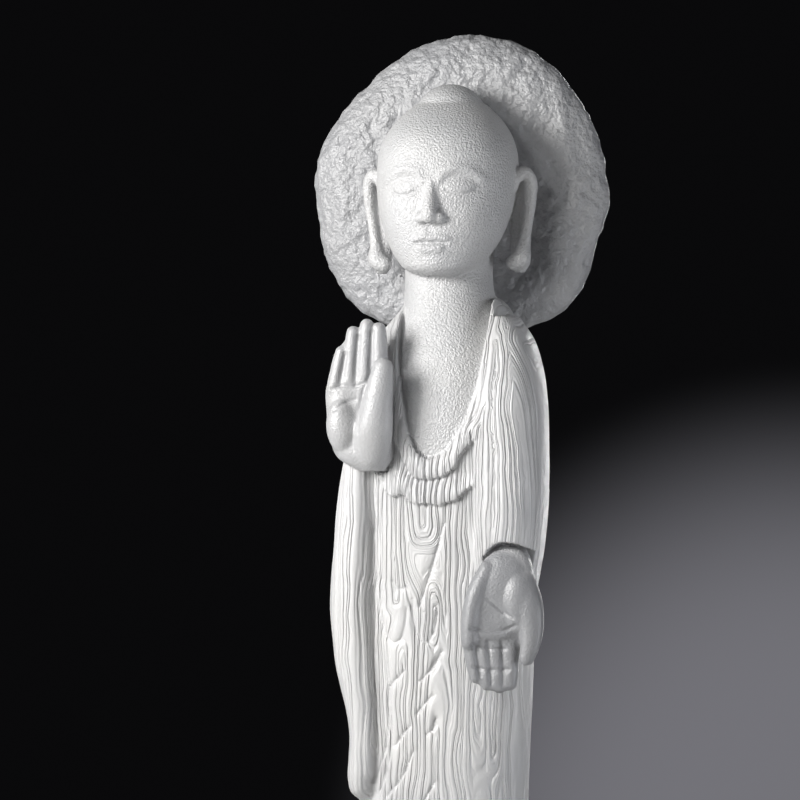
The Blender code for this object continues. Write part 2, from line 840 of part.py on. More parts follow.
def main():
    for obj in list(bpy.data.objects):
        bpy.data.objects.remove(obj)
    opening = as_object("opening", neck_opening())
    arch = as_object("arch", cuff_opening())
    body = as_object("body", robe())
    arm = as_object("arm", lowered_sleeve())
    for obj in (body, arm):
        cut_away(obj, opening)
        cut_away(obj, arch)
    cloth = [mesh_solid(body), mesh_solid(arm), hanging_sleeve()]
    casting = as_object("crystal_buddha_figurine", joined(cloth + masses()))
    for obj in (body, arm, opening, arch):
        bpy.data.objects.remove(obj)
    merged(casting, VOXEL)
    mesh = casting.data
    points = to_parts(mesh_points(mesh))
    points = carve(points, mesh_normals(mesh), cloth_share(points, cloth))
    mesh.vertices.foreach_set("co", to_metres(points).astype(np.float32).ravel())
    softened(casting, 2)
    finished(casting, TRIANGLES)
    mesh = casting.data
    mesh.shade_smooth()
    mesh.set_sharp_from_angle(angle=math.radians(40))
    mesh.materials.clear()
    mesh.materials.append(crystal())


main()
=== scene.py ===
"""Looks of the crystal Buddha figurine: its frosted casting, a floor, lights and a camera.

The casting is one closed skin with all the fine relief: grain, collar, creases and stone. It
is laid out in parts, as in the solid that it stands for: one part is the figure's height from
soles to crown divided by FIGURE_PARTS. Heights in the tables count up from the soles, depths go
back from the figure's own axis, and the figure faces -Y. Left and right are those of a viewer
in front of it, so left is -X.
"""

import math

import bmesh
import bpy
import numpy as np
from mathutils import Matrix, Vector
from mathutils.bvhtree import BVHTree


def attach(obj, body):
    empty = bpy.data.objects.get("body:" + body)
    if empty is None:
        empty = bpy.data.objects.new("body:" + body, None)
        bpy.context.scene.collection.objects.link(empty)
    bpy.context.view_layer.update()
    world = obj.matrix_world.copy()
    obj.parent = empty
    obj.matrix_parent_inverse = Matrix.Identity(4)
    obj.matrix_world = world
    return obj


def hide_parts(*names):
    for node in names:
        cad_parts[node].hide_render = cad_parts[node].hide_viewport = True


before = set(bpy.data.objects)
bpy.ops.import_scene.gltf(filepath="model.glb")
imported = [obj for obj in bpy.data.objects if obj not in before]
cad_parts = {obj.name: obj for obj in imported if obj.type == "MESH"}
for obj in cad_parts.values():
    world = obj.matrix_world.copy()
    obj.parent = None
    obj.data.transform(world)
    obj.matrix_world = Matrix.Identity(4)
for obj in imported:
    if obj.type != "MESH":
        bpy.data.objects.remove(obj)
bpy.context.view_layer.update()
NODE = "crystal_buddha_figurine"

# Driving sizes, in metres
FIGURE_HEIGHT = 0.427
BASE_WIDTH = 0.112
BASE_DEPTH = 0.090
BASE_HEIGHT = 0.018
HALO_DIAMETER = 0.125
HALO_THICKNESS = 0.012

# The canon of the free form
FIGURE_PARTS = 427
PART = FIGURE_HEIGHT / FIGURE_PARTS
AXIS_SETBACK = 3.0  # parts from the base's middle back to the figure's axis
HALO_FACE = 20.0  # parts from the axis back to the halo's front face
HALO_CENTRE = 387.0  # parts above the soles

# How finely the casting is made
VOXEL = 0.00045  # metres
ROUNDING = 9  # rounds of smoothing that round the corners off
TRIANGLES = 208000  # asked for before the part under the floor is cut off


def through(stations, at):
    """Smooth curves through the stations, rows of (place, value, value ...), read at the places at."""
    table = np.array(stations, float)
    place, values = table[:, 0], table[:, 1:]
    slopes = np.gradient(values, place, axis=0)
    index = np.clip(np.searchsorted(place, at) - 1, 0, len(place) - 2)
    span = (place[index + 1] - place[index])[:, None]
    t = ((np.asarray(at) - place[index]) / span[:, 0])[:, None]
    return (
        (2 * t**3 - 3 * t**2 + 1) * values[index]
        + (t**3 - 2 * t**2 + t) * span * slopes[index]
        + (3 * t**2 - 2 * t**3) * values[index + 1]
        + (t**3 - t**2) * span * slopes[index + 1]
    )


def rise(value, low, high):
    """0 below low, 1 above high and a smooth step between them."""
    t = np.clip((value - low) / (high - low), 0, 1)
    return t * t * (3 - 2 * t)


def between(value, low, high, soft):
    """1 between low and high and 0 outside them, with steps soft wide."""
    return rise(value, low - soft, low) * (1 - rise(value, high, high + soft))


def noise(points, size, seed):
    """Smooth noise from -1 to 1 at the points, its lumps about size across on each axis."""
    cells = 32
    lattice = np.random.default_rng(seed).uniform(-1, 1, (cells, cells, cells))
    place = points / np.array(size, float)
    cell = np.floor(place).astype(int)
    t = place - cell
    t = t * t * (3 - 2 * t)
    total = np.zeros(len(points))
    for corner in range(8):
        step = np.array([corner & 1, corner >> 1 & 1, corner >> 2])
        at = (cell + step) % cells
        share = np.prod(np.where(step, t, 1 - t), axis=1)
        total += share * lattice[at[:, 0], at[:, 1], at[:, 2]]
    return total


def shell(rings):
    """Closed surface over rings of points, an array (rings, points, 3), with a pole at each end."""
    rings = np.asarray(rings, float)
    rows, count = rings.shape[:2]
    points = np.vstack([rings.reshape(-1, 3), rings[0].mean(0), rings[-1].mean(0)])
    faces = []
    for row in range(rows - 1):
        for i in range(count):
            j = (i + 1) % count
            low, high = row * count, (row + 1) * count
            faces.append((low + i, low + j, high + j, high + i))
    first, last, top = rows * count, rows * count + 1, (rows - 1) * count
    for i in range(count):
        j = (i + 1) % count
        faces.append((first, j, i))
        faces.append((last, top + i, top + j))
    return points, faces


def oval(left, right, front, back, squareness, count=96):
    """Points (x, y) round a rounded box, counter-clockwise from its right."""
    angle = np.linspace(0, 2 * math.pi, count, endpoint=False)
    cosine, sine = np.cos(angle), np.sin(angle)
    power = 2 / squareness
    x = (left + right) / 2 + (right - left) / 2 * np.sign(cosine) * np.abs(cosine) ** power
    y = (front + back) / 2 + (back - front) / 2 * np.sign(sine) * np.abs(sine) ** power
    return x, y


def upright(stations, squareness=2.4, steps=48):
    """Solid through stations of (height, left, right, front, back), its sections level rounded boxes."""
    heights = np.linspace(stations[0][0], stations[-1][0], steps)
    rings = []
    for height, (left, right, front, back) in zip(heights, through(stations, heights)):
        x, y = oval(left, right, front, back, squareness)
        rings.append(np.column_stack([x, y, np.full(len(x), height)]))
    return shell(rings)


def limb(stations, flat=1.0, steps=20, count=32):
    """Tube through stations of (x, y, z, radius), rounded at both ends and flat times as deep."""
    knots = np.array(stations, float)
    length = np.concatenate([[0], np.cumsum(np.linalg.norm(np.diff(knots[:, :3], axis=0), axis=1))])
    places = np.linspace(0, length[-1], steps)
    centres = through(np.column_stack([length, knots]), places)
    ahead = np.gradient(centres[:, :3], axis=0)
    ahead /= np.linalg.norm(ahead, axis=1)[:, None]
    sections = [(centres[i], ahead[i], 0.0, 1.0) for i in range(steps)]
    for turn in np.linspace(0.35, 1.45, 5):
        share = math.cos(turn)
        sections.insert(0, (centres[0], ahead[0], -math.sin(turn), share))
        sections.append((centres[-1], ahead[-1], math.sin(turn), share))
    rings = []
    for (x, y, z, radius), direction, reach, share in sections:
        side = np.cross([0.0, 1.0, 0.0], direction)
        side /= np.linalg.norm(side)
        depth = np.cross(direction, side)
        turns = np.linspace(0, 2 * math.pi, count, endpoint=False)[:, None]
        middle = np.array([x, y, z]) + direction * reach * radius
        rings.append(
            middle + radius * share * (np.cos(turns) * side + flat * np.sin(turns) * depth)
        )
    return shell(rings)


def ball(centre, radii, rings=24, count=36):
    """Ellipsoid."""
    tilts = np.linspace(-math.pi / 2, math.pi / 2, rings + 2)[1:-1]
    turns = np.linspace(0, 2 * math.pi, count, endpoint=False)
    made = [
        np.column_stack(
            [
                centre[0] + radii[0] * math.cos(tilt) * np.cos(turns),
                centre[1] + radii[1] * math.cos(tilt) * np.sin(turns),
                np.full(count, centre[2] + radii[2] * math.sin(tilt)),
            ]
        )
        for tilt in tilts
    ]
    return shell(made)


def prism(outline, front, back):
    """Block with the outline, points (x, z), between the depths front and back."""
    count = len(outline)
    points = [(x, depth, z) for depth in (front, back) for x, z in outline]
    faces = [tuple(range(count)), tuple(range(2 * count - 1, count - 1, -1))]
    for i in range(count):
        j = (i + 1) % count
        faces.append((i, count + i, count + j, j))
    return np.array(points, float), faces


def placed(solid, at, yaw, flip=False):
    """The solid turned upside down if flip is set, then turned about Z by yaw degrees and moved."""
    points, faces = solid
    points = points * ((1, 1, -1) if flip else (1, 1, 1))
    turn = np.array(Matrix.Rotation(math.radians(yaw), 3, "Z"))
    return points @ turn.T + np.array(at), faces


# The figure's masses. Rows are (height, left, right, front, back), in parts.


def robe():
    """Torso and skirt under the sleeves."""
    return upright(
        [
            (-4, -27.0, 26.0, -18.0, 17.0),
            (6.0, -28.5, 27.5, -19.5, 18.5),
            (7.6, -33.6, 32.6, -25.2, 22.4),
            (9.6, -35.2, 34.2, -26.9, 23.8),
            (16, -34.8, 33.8, -26.6, 23.6),
            (30, -34.2, 33.4, -26.2, 23.3),
            (60, -33.5, 33.0, -26.0, 23.0),
            (105, -33.5, 33.0, -26.5, 23.0),
            (145, -34.5, 33.5, -27.0, 23.5),
            (190, -36.0, 35.4, -27.5, 24.0),
            (242, -36.5, 37.0, -28.0, 24.5),
            (282, -37.0, 38.5, -28.0, 25.0),
            (310, -34.5, 37.0, -26.0, 25.0),
            (322, -30.0, 34.0, -23.2, 24.5),
            (329, -24.6, 30.0, -20.6, 24.0),
            (335, -19.4, 26.0, -17.8, 23.5),
            (340, -15.5, 21.5, -14.8, 23.0),
            (344, -10.0, 13.0, -8.0, 21.0),
        ],
        squareness=2.3,
        steps=160,
    )


def hanging_sleeve():
    """The sleeve that falls from the raised forearm and ends above the knee."""
    return upright(
        [
            (141.0, -33.0, -26.5, -17.0, 10.0),
            (143.5, -35.2, -23.5, -23.0, 13.0),
            (149, -36.6, -21.5, -26.5, 15.0),
            (158, -36.2, -20.5, -27.5, 15.0),
            (167, -35.9, -20.0, -27.5, 15.0),
            (177, -37.3, -20.0, -28.0, 15.0),
            (185, -39.4, -20.0, -28.5, 15.0),
            (194, -41.7, -20.0, -28.5, 15.0),
            (206, -43.2, -20.5, -28.5, 15.0),
            (216, -44.1, -21.0, -28.5, 14.5),
            (228, -43.8, -21.0, -28.3, 14.0),
            (242, -42.6, -21.0, -28.0, 14.0),
            (254, -41.8, -21.0, -27.5, 13.5),
            (266, -40.3, -21.0, -27.0, 13.5),
            (277, -38.4, -21.5, -26.0, 13.0),
            (300, -36.4, -22.0, -22.0, 12.0),
            (316, -32.0, -21.5, -15.0, 11.0),
            (324, -27.0, -20.0, -9.0, 10.0),
        ],
        squareness=2.35,
        steps=110,
    )


def lowered_sleeve():
    """Upper arm and forearm of the lowered arm, down to the cuff."""
    return upright(
        [
            (219, 20.0, 36.5, -24.0, 8.0),
            (225, 18.0, 38.4, -30.0, 8.5),
            (236, 16.0, 40.8, -33.0, 9.5),
            (250, 15.0, 42.6, -33.6, 10.5),
            (266, 14.0, 43.3, -32.8, 12.0),
            (282, 13.0, 43.0, -31.0, 13.0),
            (300, 13.0, 42.2, -28.5, 13.5),
            (313, 14.5, 40.0, -25.0, 13.5),
            (325, 16.0, 35.5, -19.5, 13.0),
            (333, 18.0, 29.5, -14.0, 12.0),
        ],
        squareness=2.4,
        steps=80,
    )


def cuff_opening():
    """What the cuff leaves open above the wrist: an arch that runs out over the sleeve's outer side."""
    turns = np.linspace(0, 2 * math.pi, 72, endpoint=False)
    reach = np.where(np.cos(turns) > 0, 16.0, 11.8)
    climb = 19.8 * np.maximum(np.sin(turns), -0.12)
    outline = np.column_stack([31.3 + reach * np.cos(turns), 225.0 + climb])
    return prism(outline, -48.0, -19.5)


NECKLINE = [
    (-12.0, 350),
    (-14.0, 342),
    (-15.2, 333),
    (-14.6, 323),
    (-13.2, 311),
    (-11.0, 298),
    (-8.0, 286),
    (-4.4, 279),
    (0.2, 276.8),
    (5.4, 279),
    (10.2, 284.4),
    (14.6, 292.4),
    (17.8, 302),
    (19.9, 314),
    (21.0, 325),
    (21.2, 333),
    (20.0, 341),
    (18.0, 350),
]


def curve(knots, steps):
    """Points (x, z) evenly along a smooth curve through the knots."""
    knots = np.array(knots, float)
    length = np.concatenate([[0], np.cumsum(np.hypot(*np.diff(knots, axis=0).T))])
    return through(np.column_stack([length, knots]), np.linspace(0, length[-1], steps))


def neck_opening():
    """What the robe leaves bare: everything in front of the chest inside the neckline."""
    return prism(curve(NECKLINE, 120), -60.0, 10.0)


def chest():
    """Bare chest, throat and neck."""
    return upright(
        [
            (262, -20.0, 24.0, -19.0, 10.0),
            (270, -22.0, 27.0, -24.6, 10.0),
            (280, -22.5, 28.0, -26.2, 10.0),
            (292, -22.5, 28.5, -26.0, 11.0),
            (304, -22.0, 28.0, -24.8, 13.0),
            (318, -21.0, 26.0, -22.0, 17.0),
            (332, -18.4, 21.6, -18.2, 22.5),
            (338, -17.6, 19.4, -16.4, 23.5),
            (345, -17.3, 17.8, -14.8, 23.5),
            (362, -17.4, 17.6, -13.0, 23.5),
            (378, -16.4, 16.4, -8.0, 24.0),
        ],
        squareness=2.2,
        steps=80,
    )


def head():
    """Smooth skull and jaw, plain: the features are added to it."""
    return upright(
        [
            (349.2, -7.0, 7.0, -19.0, -6.0),
            (351, -12.0, 12.0, -21.6, 0.0),
            (356, -17.8, 17.8, -23.4, 8.0),
            (363, -22.2, 22.2, -24.4, 16.0),
            (372, -25.6, 25.6, -25.0, 22.0),
            (382, -27.6, 27.6, -25.2, 27.0),
            (392, -28.2, 28.2, -24.8, 30.0),
            (399, -27.6, 27.6, -23.4, 31.0),
            (405.5, -25.4, 25.4, -20.2, 30.0),
            (411, -22.0, 22.0, -15.2, 27.5),
            (416, -17.4, 17.4, -9.0, 24.0),
            (419.5, -12.4, 12.4, -3.0, 20.0),
            (421.5, -6.0, 6.0, 2.0, 14.0),
        ],
        squareness=2.15,
        steps=100,
    )


def crown():
    """The cranial bump, set a little back on the skull."""
    return ball((0, 8, 412.8), (14.8, 14.4, 14.2))


def nose():
    """Straight nose with rounded wings, one third of the face long."""
    bridge = limb([(0, -22.4, 389, 2.3), (0, -25.0, 380, 2.6), (0, -27.2, 373.0, 3.2)], steps=12)
    wings = [ball((side * 3.6, -25.0, 371.6), (2.6, 3.2, 2.5)) for side in (-1, 1)]
    return [bridge, *wings, ball((0, -27.2, 372.0), (3.1, 3.2, 2.8))]


def ear(side):
    """Long ear: a rolled rim over a flat leaf, swelling into the lobe."""
    leaf = upright(
        [
            (351.0, 26.5, 30.5, 5.5, 9.5),
            (354.5, 25.2, 32.6, 4.4, 11.0),
            (360, 24.5, 32.6, 5.4, 12.0),
            (368, 24.0, 32.6, 6.8, 13.0),
            (378, 24.0, 33.8, 7.0, 13.5),
            (386, 24.0, 35.2, 6.6, 13.5),
            (390.6, 25.0, 34.0, 6.2, 12.5),
        ],
        squareness=2.2,
        steps=32,
    )
    rim = limb(
        [
            (26.4, 2.0, 384.0, 2.2),
            (28.2, 2.6, 389.0, 2.7),
            (31.2, 3.8, 390.6, 2.8),
            (33.2, 5.2, 388.0, 2.7),
            (33.6, 5.8, 382.0, 2.3),
            (32.2, 6.2, 371.0, 2.0),
            (30.6, 5.4, 362.0, 2.5),
            (29.4, 4.6, 356.2, 3.9),
            (26.8, 4.0, 354.8, 3.3),
        ],
        steps=60,
        count=20,
    )
    return [(points * (side, 1, 1), faces) for points, faces in (leaf, rim)]


def finger(base, tip, radius, curl=0.0):
    """Tapered finger from base to tip, both (x, z), its end bent curl parts towards the palm's face."""
    (x, z), (end_x, end_z) = base, tip
    rows = []
    for share, width, bend in ((0.0, 1.0, 0.0), (0.35, 0.97, 0.15), (0.7, 0.95, 0.5), (1.0, 0.8, 1.0)):
        rows.append(
            (x + (end_x - x) * share, -curl * bend, z + (end_z - z) * share, radius * width)
        )
    return limb(rows, flat=1.05, steps=24, count=24)


def finger_web(stations):
    """Thin leaf that joins the fingers behind their pads, so that they lie close together."""
    return upright(stations, squareness=2.8, steps=24)


def raised_hand():
    """Palm forward and fingers up, in its own frame: palm facing -Y, thumb at +X."""
    palm = upright(
        [
            (-23.0, -1.0, 9.5, -3.0, 6.0),
            (-19.5, -7.5, 11.5, -5.0, 8.0),
            (-12.0, -12.4, 12.5, -5.2, 10.0),
            (0.0, -14.0, 12.2, -4.6, 9.5),
            (10.0, -13.9, 11.6, -3.8, 6.0),
            (14.0, -12.6, 10.5, -3.0, 4.4),
        ],
        squareness=2.5,
        steps=40,
    )
    return [
        palm,
        ball((-6.8, -2.4, -5.0), (6.6, 5.2, 11.0)),
        finger_web(
            [
                (4.0, -14.2, 11.4, -3.4, 5.4),
                (14.0, -13.0, 10.9, -3.0, 4.6),
                (22.0, -10.2, 10.3, -2.9, 4.2),
                (28.0, -6.6, 9.6, -2.6, 3.6),
                (32.0, -2.6, 8.2, -2.2, 3.0),
            ]
        ),
        finger((-10.6, 9.0), (-7.6, 23.6), 3.2, curl=0.6),
        finger((-4.4, 10.0), (-3.0, 31.2), 3.45, curl=0.4),
        finger((1.6, 10.0), (2.4, 34.0), 3.5, curl=0.2),
        finger((7.4, 10.0), (7.2, 32.6), 3.5, curl=0.0),
        limb(
            [
                (4.4, -2.0, -15.5, 7.2),
                (5.8, -4.8, -7.0, 7.6),
                (7.6, -6.6, 4.0, 6.1),
                (9.0, -6.8, 12.0, 5.0),
                (9.7, -6.4, 17.2, 4.2),
            ],
            flat=0.8,
            steps=36,
        ),
    ]


def lowered_hand():
    """Palm forward and fingers down, in its own frame before it is flipped: fingers at +Z."""
    palm = upright(
        [
            (-27.4, -1.6, 4.0, 1.6, 13.0),
            (-26.2, -4.8, 7.0, -0.4, 13.5),
            (-24.0, -7.4, 9.4, -2.2, 13.5),
            (-20.5, -9.2, 10.8, -3.6, 13.0),
            (-11.0, -12.4, 12.8, -5.2, 12.5),
            (-3.0, -14.6, 13.4, -5.4, 10.0),
            (5.0, -15.2, 11.0, -4.4, 7.5),
            (13.0, -14.6, 6.8, -2.8, 5.0),
        ],
        squareness=2.6,
        steps=42,
    )
    return [
        palm,
        limb(
            [
                (-6.6, -0.2, -19.0, 3.4),
                (-10.6, -1.4, -10.0, 4.0),
                (-12.8, -1.8, 0.0, 3.9),
                (-13.4, -2.2, 9.0, 3.5),
            ],
            steps=24,
        ),
        ball((5.6, -2.6, -6.0), (7.4, 4.8, 12.0)),
        ball((-4.0, -2.6, 5.6), (9.0, 2.4, 3.2)),
        finger_web(
            [
                (4.0, -16.0, 9.0, -3.6, 5.4),
                (12.0, -15.8, 6.2, -3.5, 5.0),
                (20.0, -14.0, 5.2, -3.6, 4.6),
                (25.5, -10.6, 4.4, -3.8, 4.0),
                (28.0, -6.0, 2.0, -3.4, 3.2),
            ]
        ),
        finger((-13.4, 8.0), (-11.0, 22.6), 3.4, curl=1.2),
        finger((-8.2, 9.0), (-6.6, 25.4), 3.5, curl=1.1),
        finger((-2.8, 9.0), (-1.9, 26.4), 3.5, curl=1.0),
        finger((2.4, 9.0), (2.2, 25.4), 3.4, curl=0.9),
        limb(
            [
                (7.2, -0.8, -14.0, 5.2),
                (9.0, -2.6, -5.0, 6.0),
                (10.4, -3.8, 4.0, 4.8),
                (9.8, -4.4, 10.6, 3.8),
                (8.6, -4.6, 15.0, 3.1),
            ],
            flat=0.85,
            steps=36,
        ),
    ]


# The halo's section: rows of (share of its radius, share of its thickness back from its face)
HALO_SECTION = [
    (0.35, 0.0),
    (0.78, 0.0),
    (0.84, 0.07),
    (0.90, 0.19),
    (0.95, 0.32),
    (0.985, 0.48),
    (1.0, 0.66),
    (0.993, 0.83),
    (0.965, 0.95),
    (0.93, 1.0),
    (0.35, 1.0),
]

# The halo's uneven edge: rows of (turn in degrees counter-clockwise from +X, share of its radius)
HALO_EDGE = [
    (0, 0.972),
    (24, 0.955),
    (45, 0.965),
    (64, 1.003),
    (88, 1.0),
    (110, 0.972),
    (132, 0.948),
    (150, 0.968),
    (168, 1.003),
    (186, 1.0),
    (206, 1.036),
    (226, 1.058),
    (250, 1.035),
    (270, 1.0),
    (292, 1.02),
    (315, 1.05),
    (335, 0.982),
    (360, 0.972),
]


def halo():
    """Uneven disc with rounded edges."""
    turns = np.linspace(0, 2 * math.pi, 180, endpoint=False)
    outline = HALO_DIAMETER / 2 / PART * through(HALO_EDGE, np.degrees(turns) % 360)[:, 0]
    rings = []
    for share, depth in HALO_SECTION:
        x = outline * share * np.cos(turns)
        z = HALO_CENTRE + outline * share * np.sin(turns)
        y = np.full(len(x), HALO_FACE + HALO_THICKNESS / PART * depth)
        rings.append(np.column_stack([x, y, z]))
    return shell(rings)


FOOT_ACROSS = 13.0  # parts from the middle out to each foot's own middle
TOE_LENGTH = 7.4

# Each toe's place outwards from the foot's middle, its depth, half width and half height
TOES = [
    (-5.4, -34.5, 3.8, 5.0),
    (0.2, -35.2, 2.8, 4.2),
    (4.2, -34.0, 2.6, 3.9),
    (7.6, -32.0, 2.4, 3.6),
    (10.2, -29.4, 2.2, 3.3),
]


def feet():
    """Insteps and toes that show under the hem, the big toes side by side."""
    made = []
    for side in (-1, 1):
        made.append(ball((side * FOOT_ACROSS, -16.0, 0.0), (9.6, 18.0, 10.5)))
        for across, ahead, radius, height in TOES:
            centre = (side * (FOOT_ACROSS + across), ahead, 0.6)
            made.append(ball(centre, (radius, TOE_LENGTH, height)))
    return made


# The base's edge: rows of (share of its height, parts that its side stands in)
BASE_EDGE = [(-0.25, 2.0), (0.0, 0.8), (0.2, 0.0), (0.75, 0.3), (0.9, 1.0), (0.97, 2.4), (1.0, 5.0)]


def base():
    """Low oval plinth. It starts below the floor, where it is cut off flat."""
    width, depth = BASE_WIDTH / PART, BASE_DEPTH / PART
    height = BASE_HEIGHT / PART
    rows = []
    for share, inset in BASE_EDGE:
        rows.append(
            (
                (share - 1) * height,
                inset - width / 2,
                width / 2 - inset,
                inset - depth / 2 - AXIS_SETBACK,
                depth / 2 - inset - AXIS_SETBACK,
            )
        )
    return upright(rows, squareness=2.6, steps=50)


# Where each hand's own frame is set, and its turn about Z in degrees
RAISED_HAND_AT, RAISED_HAND_YAW = (-26.8, -30.5, 295.2), 6.0
LOWERED_HAND_AT, LOWERED_HAND_YAW = (31.0, -30.0, 215.2), 13.0


def masses():
    """Every mass of the casting but the robe, in parts, as (points, faces)."""
    made = [chest(), head(), crown(), halo(), base()]
    made += nose() + ear(-1) + ear(1) + feet()
    made += [placed(solid, RAISED_HAND_AT, RAISED_HAND_YAW) for solid in raised_hand()]
    made += [placed(solid, LOWERED_HAND_AT, LOWERED_HAND_YAW, flip=True) for solid in lowered_hand()]
    return made


def as_object(name, solid):
    """The solid, (points, faces) in parts, as an object in the scene."""
    points, faces = solid
    mesh = bpy.data.meshes.new(name)
    mesh.from_pydata(to_metres(points).tolist(), [], faces)
    made = bmesh.new()
    made.from_mesh(mesh)
    bmesh.ops.recalc_face_normals(made, faces=made.faces)
    made.to_mesh(mesh)
    made.free()
    obj = bpy.data.objects.new(name, mesh)
    bpy.context.scene.collection.objects.link(obj)
    return obj


def to_metres(points):
    """Places in the frame for points in parts."""
    return points * PART + np.array([0.0, AXIS_SETBACK * PART, BASE_HEIGHT])


def to_parts(points):
    """Points in parts for places in the frame."""
    return (points - np.array([0.0, AXIS_SETBACK * PART, BASE_HEIGHT])) / PART


def evaluated(obj):
    """The object's mesh with its modifiers applied, in place of the object's own."""
    graph = bpy.context.evaluated_depsgraph_get()
    mesh = bpy.data.meshes.new_from_object(obj.evaluated_get(graph))
    obj.modifiers.clear()
    obj.data = mesh
    return obj


def joined(solids):
    """One (points, faces) that holds all the solids, still as separate shells."""
    points, faces, start = [], [], 0
    for part_points, part_faces in solids:
        points.append(part_points)
        faces += [tuple(start + i for i in face) for face in part_faces]
        start += len(part_points)
    return np.vstack(points), faces


def cut_away(obj, opening):
    """Cuts the opening out of obj."""
    cut = obj.modifiers.new("cut", "BOOLEAN")
    cut.operation = "DIFFERENCE"
    cut.object = opening
    evaluated(obj)


def merged(obj, voxel, rounds):
    """The shells of obj as one skin, its corners rounded off a little."""
    skin = obj.modifiers.new("skin", "REMESH")
    skin.mode = "VOXEL"
    skin.voxel_size = voxel
    return outer_skin(softened(obj, rounds))


def outer_skin(obj):
    """Leaves only the outer skin of obj, so that no void is sealed inside it."""
    made = bmesh.new()
    made.from_mesh(obj.data)
    unseen = set(made.verts)
    shells = []
    while unseen:
        reached = [unseen.pop()]
        shells.append(list(reached))
        while reached:
            vert = reached.pop()
            for edge in vert.link_edges:
                other = edge.other_vert(vert)
                if other in unseen:
                    unseen.remove(other)
                    reached.append(other)
                    shells[-1].append(other)
    shells.sort(key=len)
    for inner in shells[:-1]:
        bmesh.ops.delete(made, geom=inner, context="VERTS")
    made.to_mesh(obj.data)
    made.free()
    return obj


def softened(obj, rounds):
    """obj smoothed that many times."""
    soften = obj.modifiers.new("soften", "SMOOTH")
    soften.factor = 0.5
    soften.iterations = rounds
    return evaluated(obj)


def mesh_points(mesh):
    """The places of the mesh's vertices, one row each."""
    points = np.empty(len(mesh.vertices) * 3, np.float32)
    mesh.vertices.foreach_get("co", points)
    return points.reshape(-1, 3).astype(float)


def mesh_normals(mesh):
    """The directions that the mesh's vertices face, one row each."""
    normals = np.empty(len(mesh.vertices) * 3, np.float32)
    mesh.vertex_normals.foreach_get("vector", normals)
    return normals.reshape(-1, 3).astype(float)


def mesh_solid(obj):
    """The object's surface in parts, as (points, faces)."""
    faces = [tuple(p.vertices) for p in obj.data.polygons]
    return to_parts(mesh_points(obj.data)), faces


# Carving, as depths in parts. x, y and z are arrays in parts.

CHIN = 349  # height
FACE_HALF_WIDTH = 27
HANDS = (180, 330)  # heights between which both hands lie


def path_distance(x, z, path):
    """Distance of each point (x, z) from the path, a row of points."""
    nearest = np.full(len(x), np.inf)
    for (x0, z0), (x1, z1) in zip(path[:-1], path[1:]):
        dx, dz = x1 - x0, z1 - z0
        share = np.clip(((x - x0) * dx + (z - z0) * dz) / (dx * dx + dz * dz), 0, 1)
        nearest = np.minimum(nearest, np.hypot(x - x0 - share * dx, z - z0 - share * dz))
    return nearest


def groove(x, z, path, width):
    """1 along the path and falling to 0 about twice the width away from it."""
    return np.exp(-((path_distance(x, z, path) / width) ** 2))


def neckline_sides(z):
    """The neckline's left and right edge at the heights z."""
    outline = curve(NECKLINE, 60)
    left = np.interp(z, outline[30::-1, 1], outline[30::-1, 0])
    return left, np.interp(z, outline[30:, 1], outline[30:, 0])


def from_neckline(x, z):
    """Distance outwards from the neckline, 0 inside it."""
    left, right = neckline_sides(z)
    away = path_distance(x, z, curve(NECKLINE, 60))
    return np.where((x > left) & (x < right) & (z > 277), 0, away)


# The section of the collar's two bands, in parts: rows of (distance outwards from the neckline, height)
COLLAR = [
    (0, 0.0),
    (0.5, 1.0),
    (1.4, 1.6),
    (3.6, 2.2),
    (6.5, 2.1),
    (7.3, 0.2),
    (8.3, 0.4),
    (11.0, 1.5),
    (15.0, 2.2),
    (18.0, 2.1),
    (18.8, -0.2),
    (20.2, -0.3),
    (22.0, 0.0),
]


def collar(x, z, away):
    """Two soft bands of cloth hung from the neckline, and its raised lip up both sides of the neck."""
    ragged = noise(np.column_stack([x, z, z * 0]), (5, 8, 1), seed=21)
    away = away + 1.9 * ragged * rise(away, 2, 6)
    right = rise(x, 0, 12)
    right_outer = right * rise(away, 6, 9)
    ends = 292 - 8 * right - 21 * right_outer
    bands = np.interp(away, *np.array(COLLAR).T)
    bands *= 1 - rise(z, ends, ends + 16 - 7 * right_outer)
    bands *= 1 - rise(x, 17, 21) * rise(away, 3, 6)
    lip = 0.9 * np.exp(-(((away - 0.9) / 0.75) ** 2)) * between(z, 270, 332, 8)
    return np.maximum(bands, lip)


# Slanting folds down the front, each through three places (x, z)
FOLDS = [
    ((6.1, 251.8), (1.8, 236.0), (-3.8, 219.3)),
    ((5.3, 201.9), (1.6, 195.4), (-3.6, 189.9)),
    ((1.5, 184.4), (-1.2, 181.6), (-5.0, 177.0)),
    ((-8.0, 171.9), (-10.8, 168.6), (-14.4, 164.0)),
    ((2.8, 175.0), (1.4, 171.4), (-1.0, 168.8)),
    ((-10.6, 193.4), (-13.6, 190.4), (-17.1, 186.8)),
    ((-6.7, 161.7), (-11.0, 152.4), (-17.5, 144.3)),
    ((2.0, 150.0), (-4.6, 138.6), (-12.0, 126.0)),
    ((8.0, 136.0), (1.4, 122.4), (-6.0, 108.0)),
    ((-4.0, 112.0), (-10.0, 100.4), (-17.0, 90.0)),
    ((10.0, 100.0), (5.0, 86.0), (-2.0, 74.0)),
]

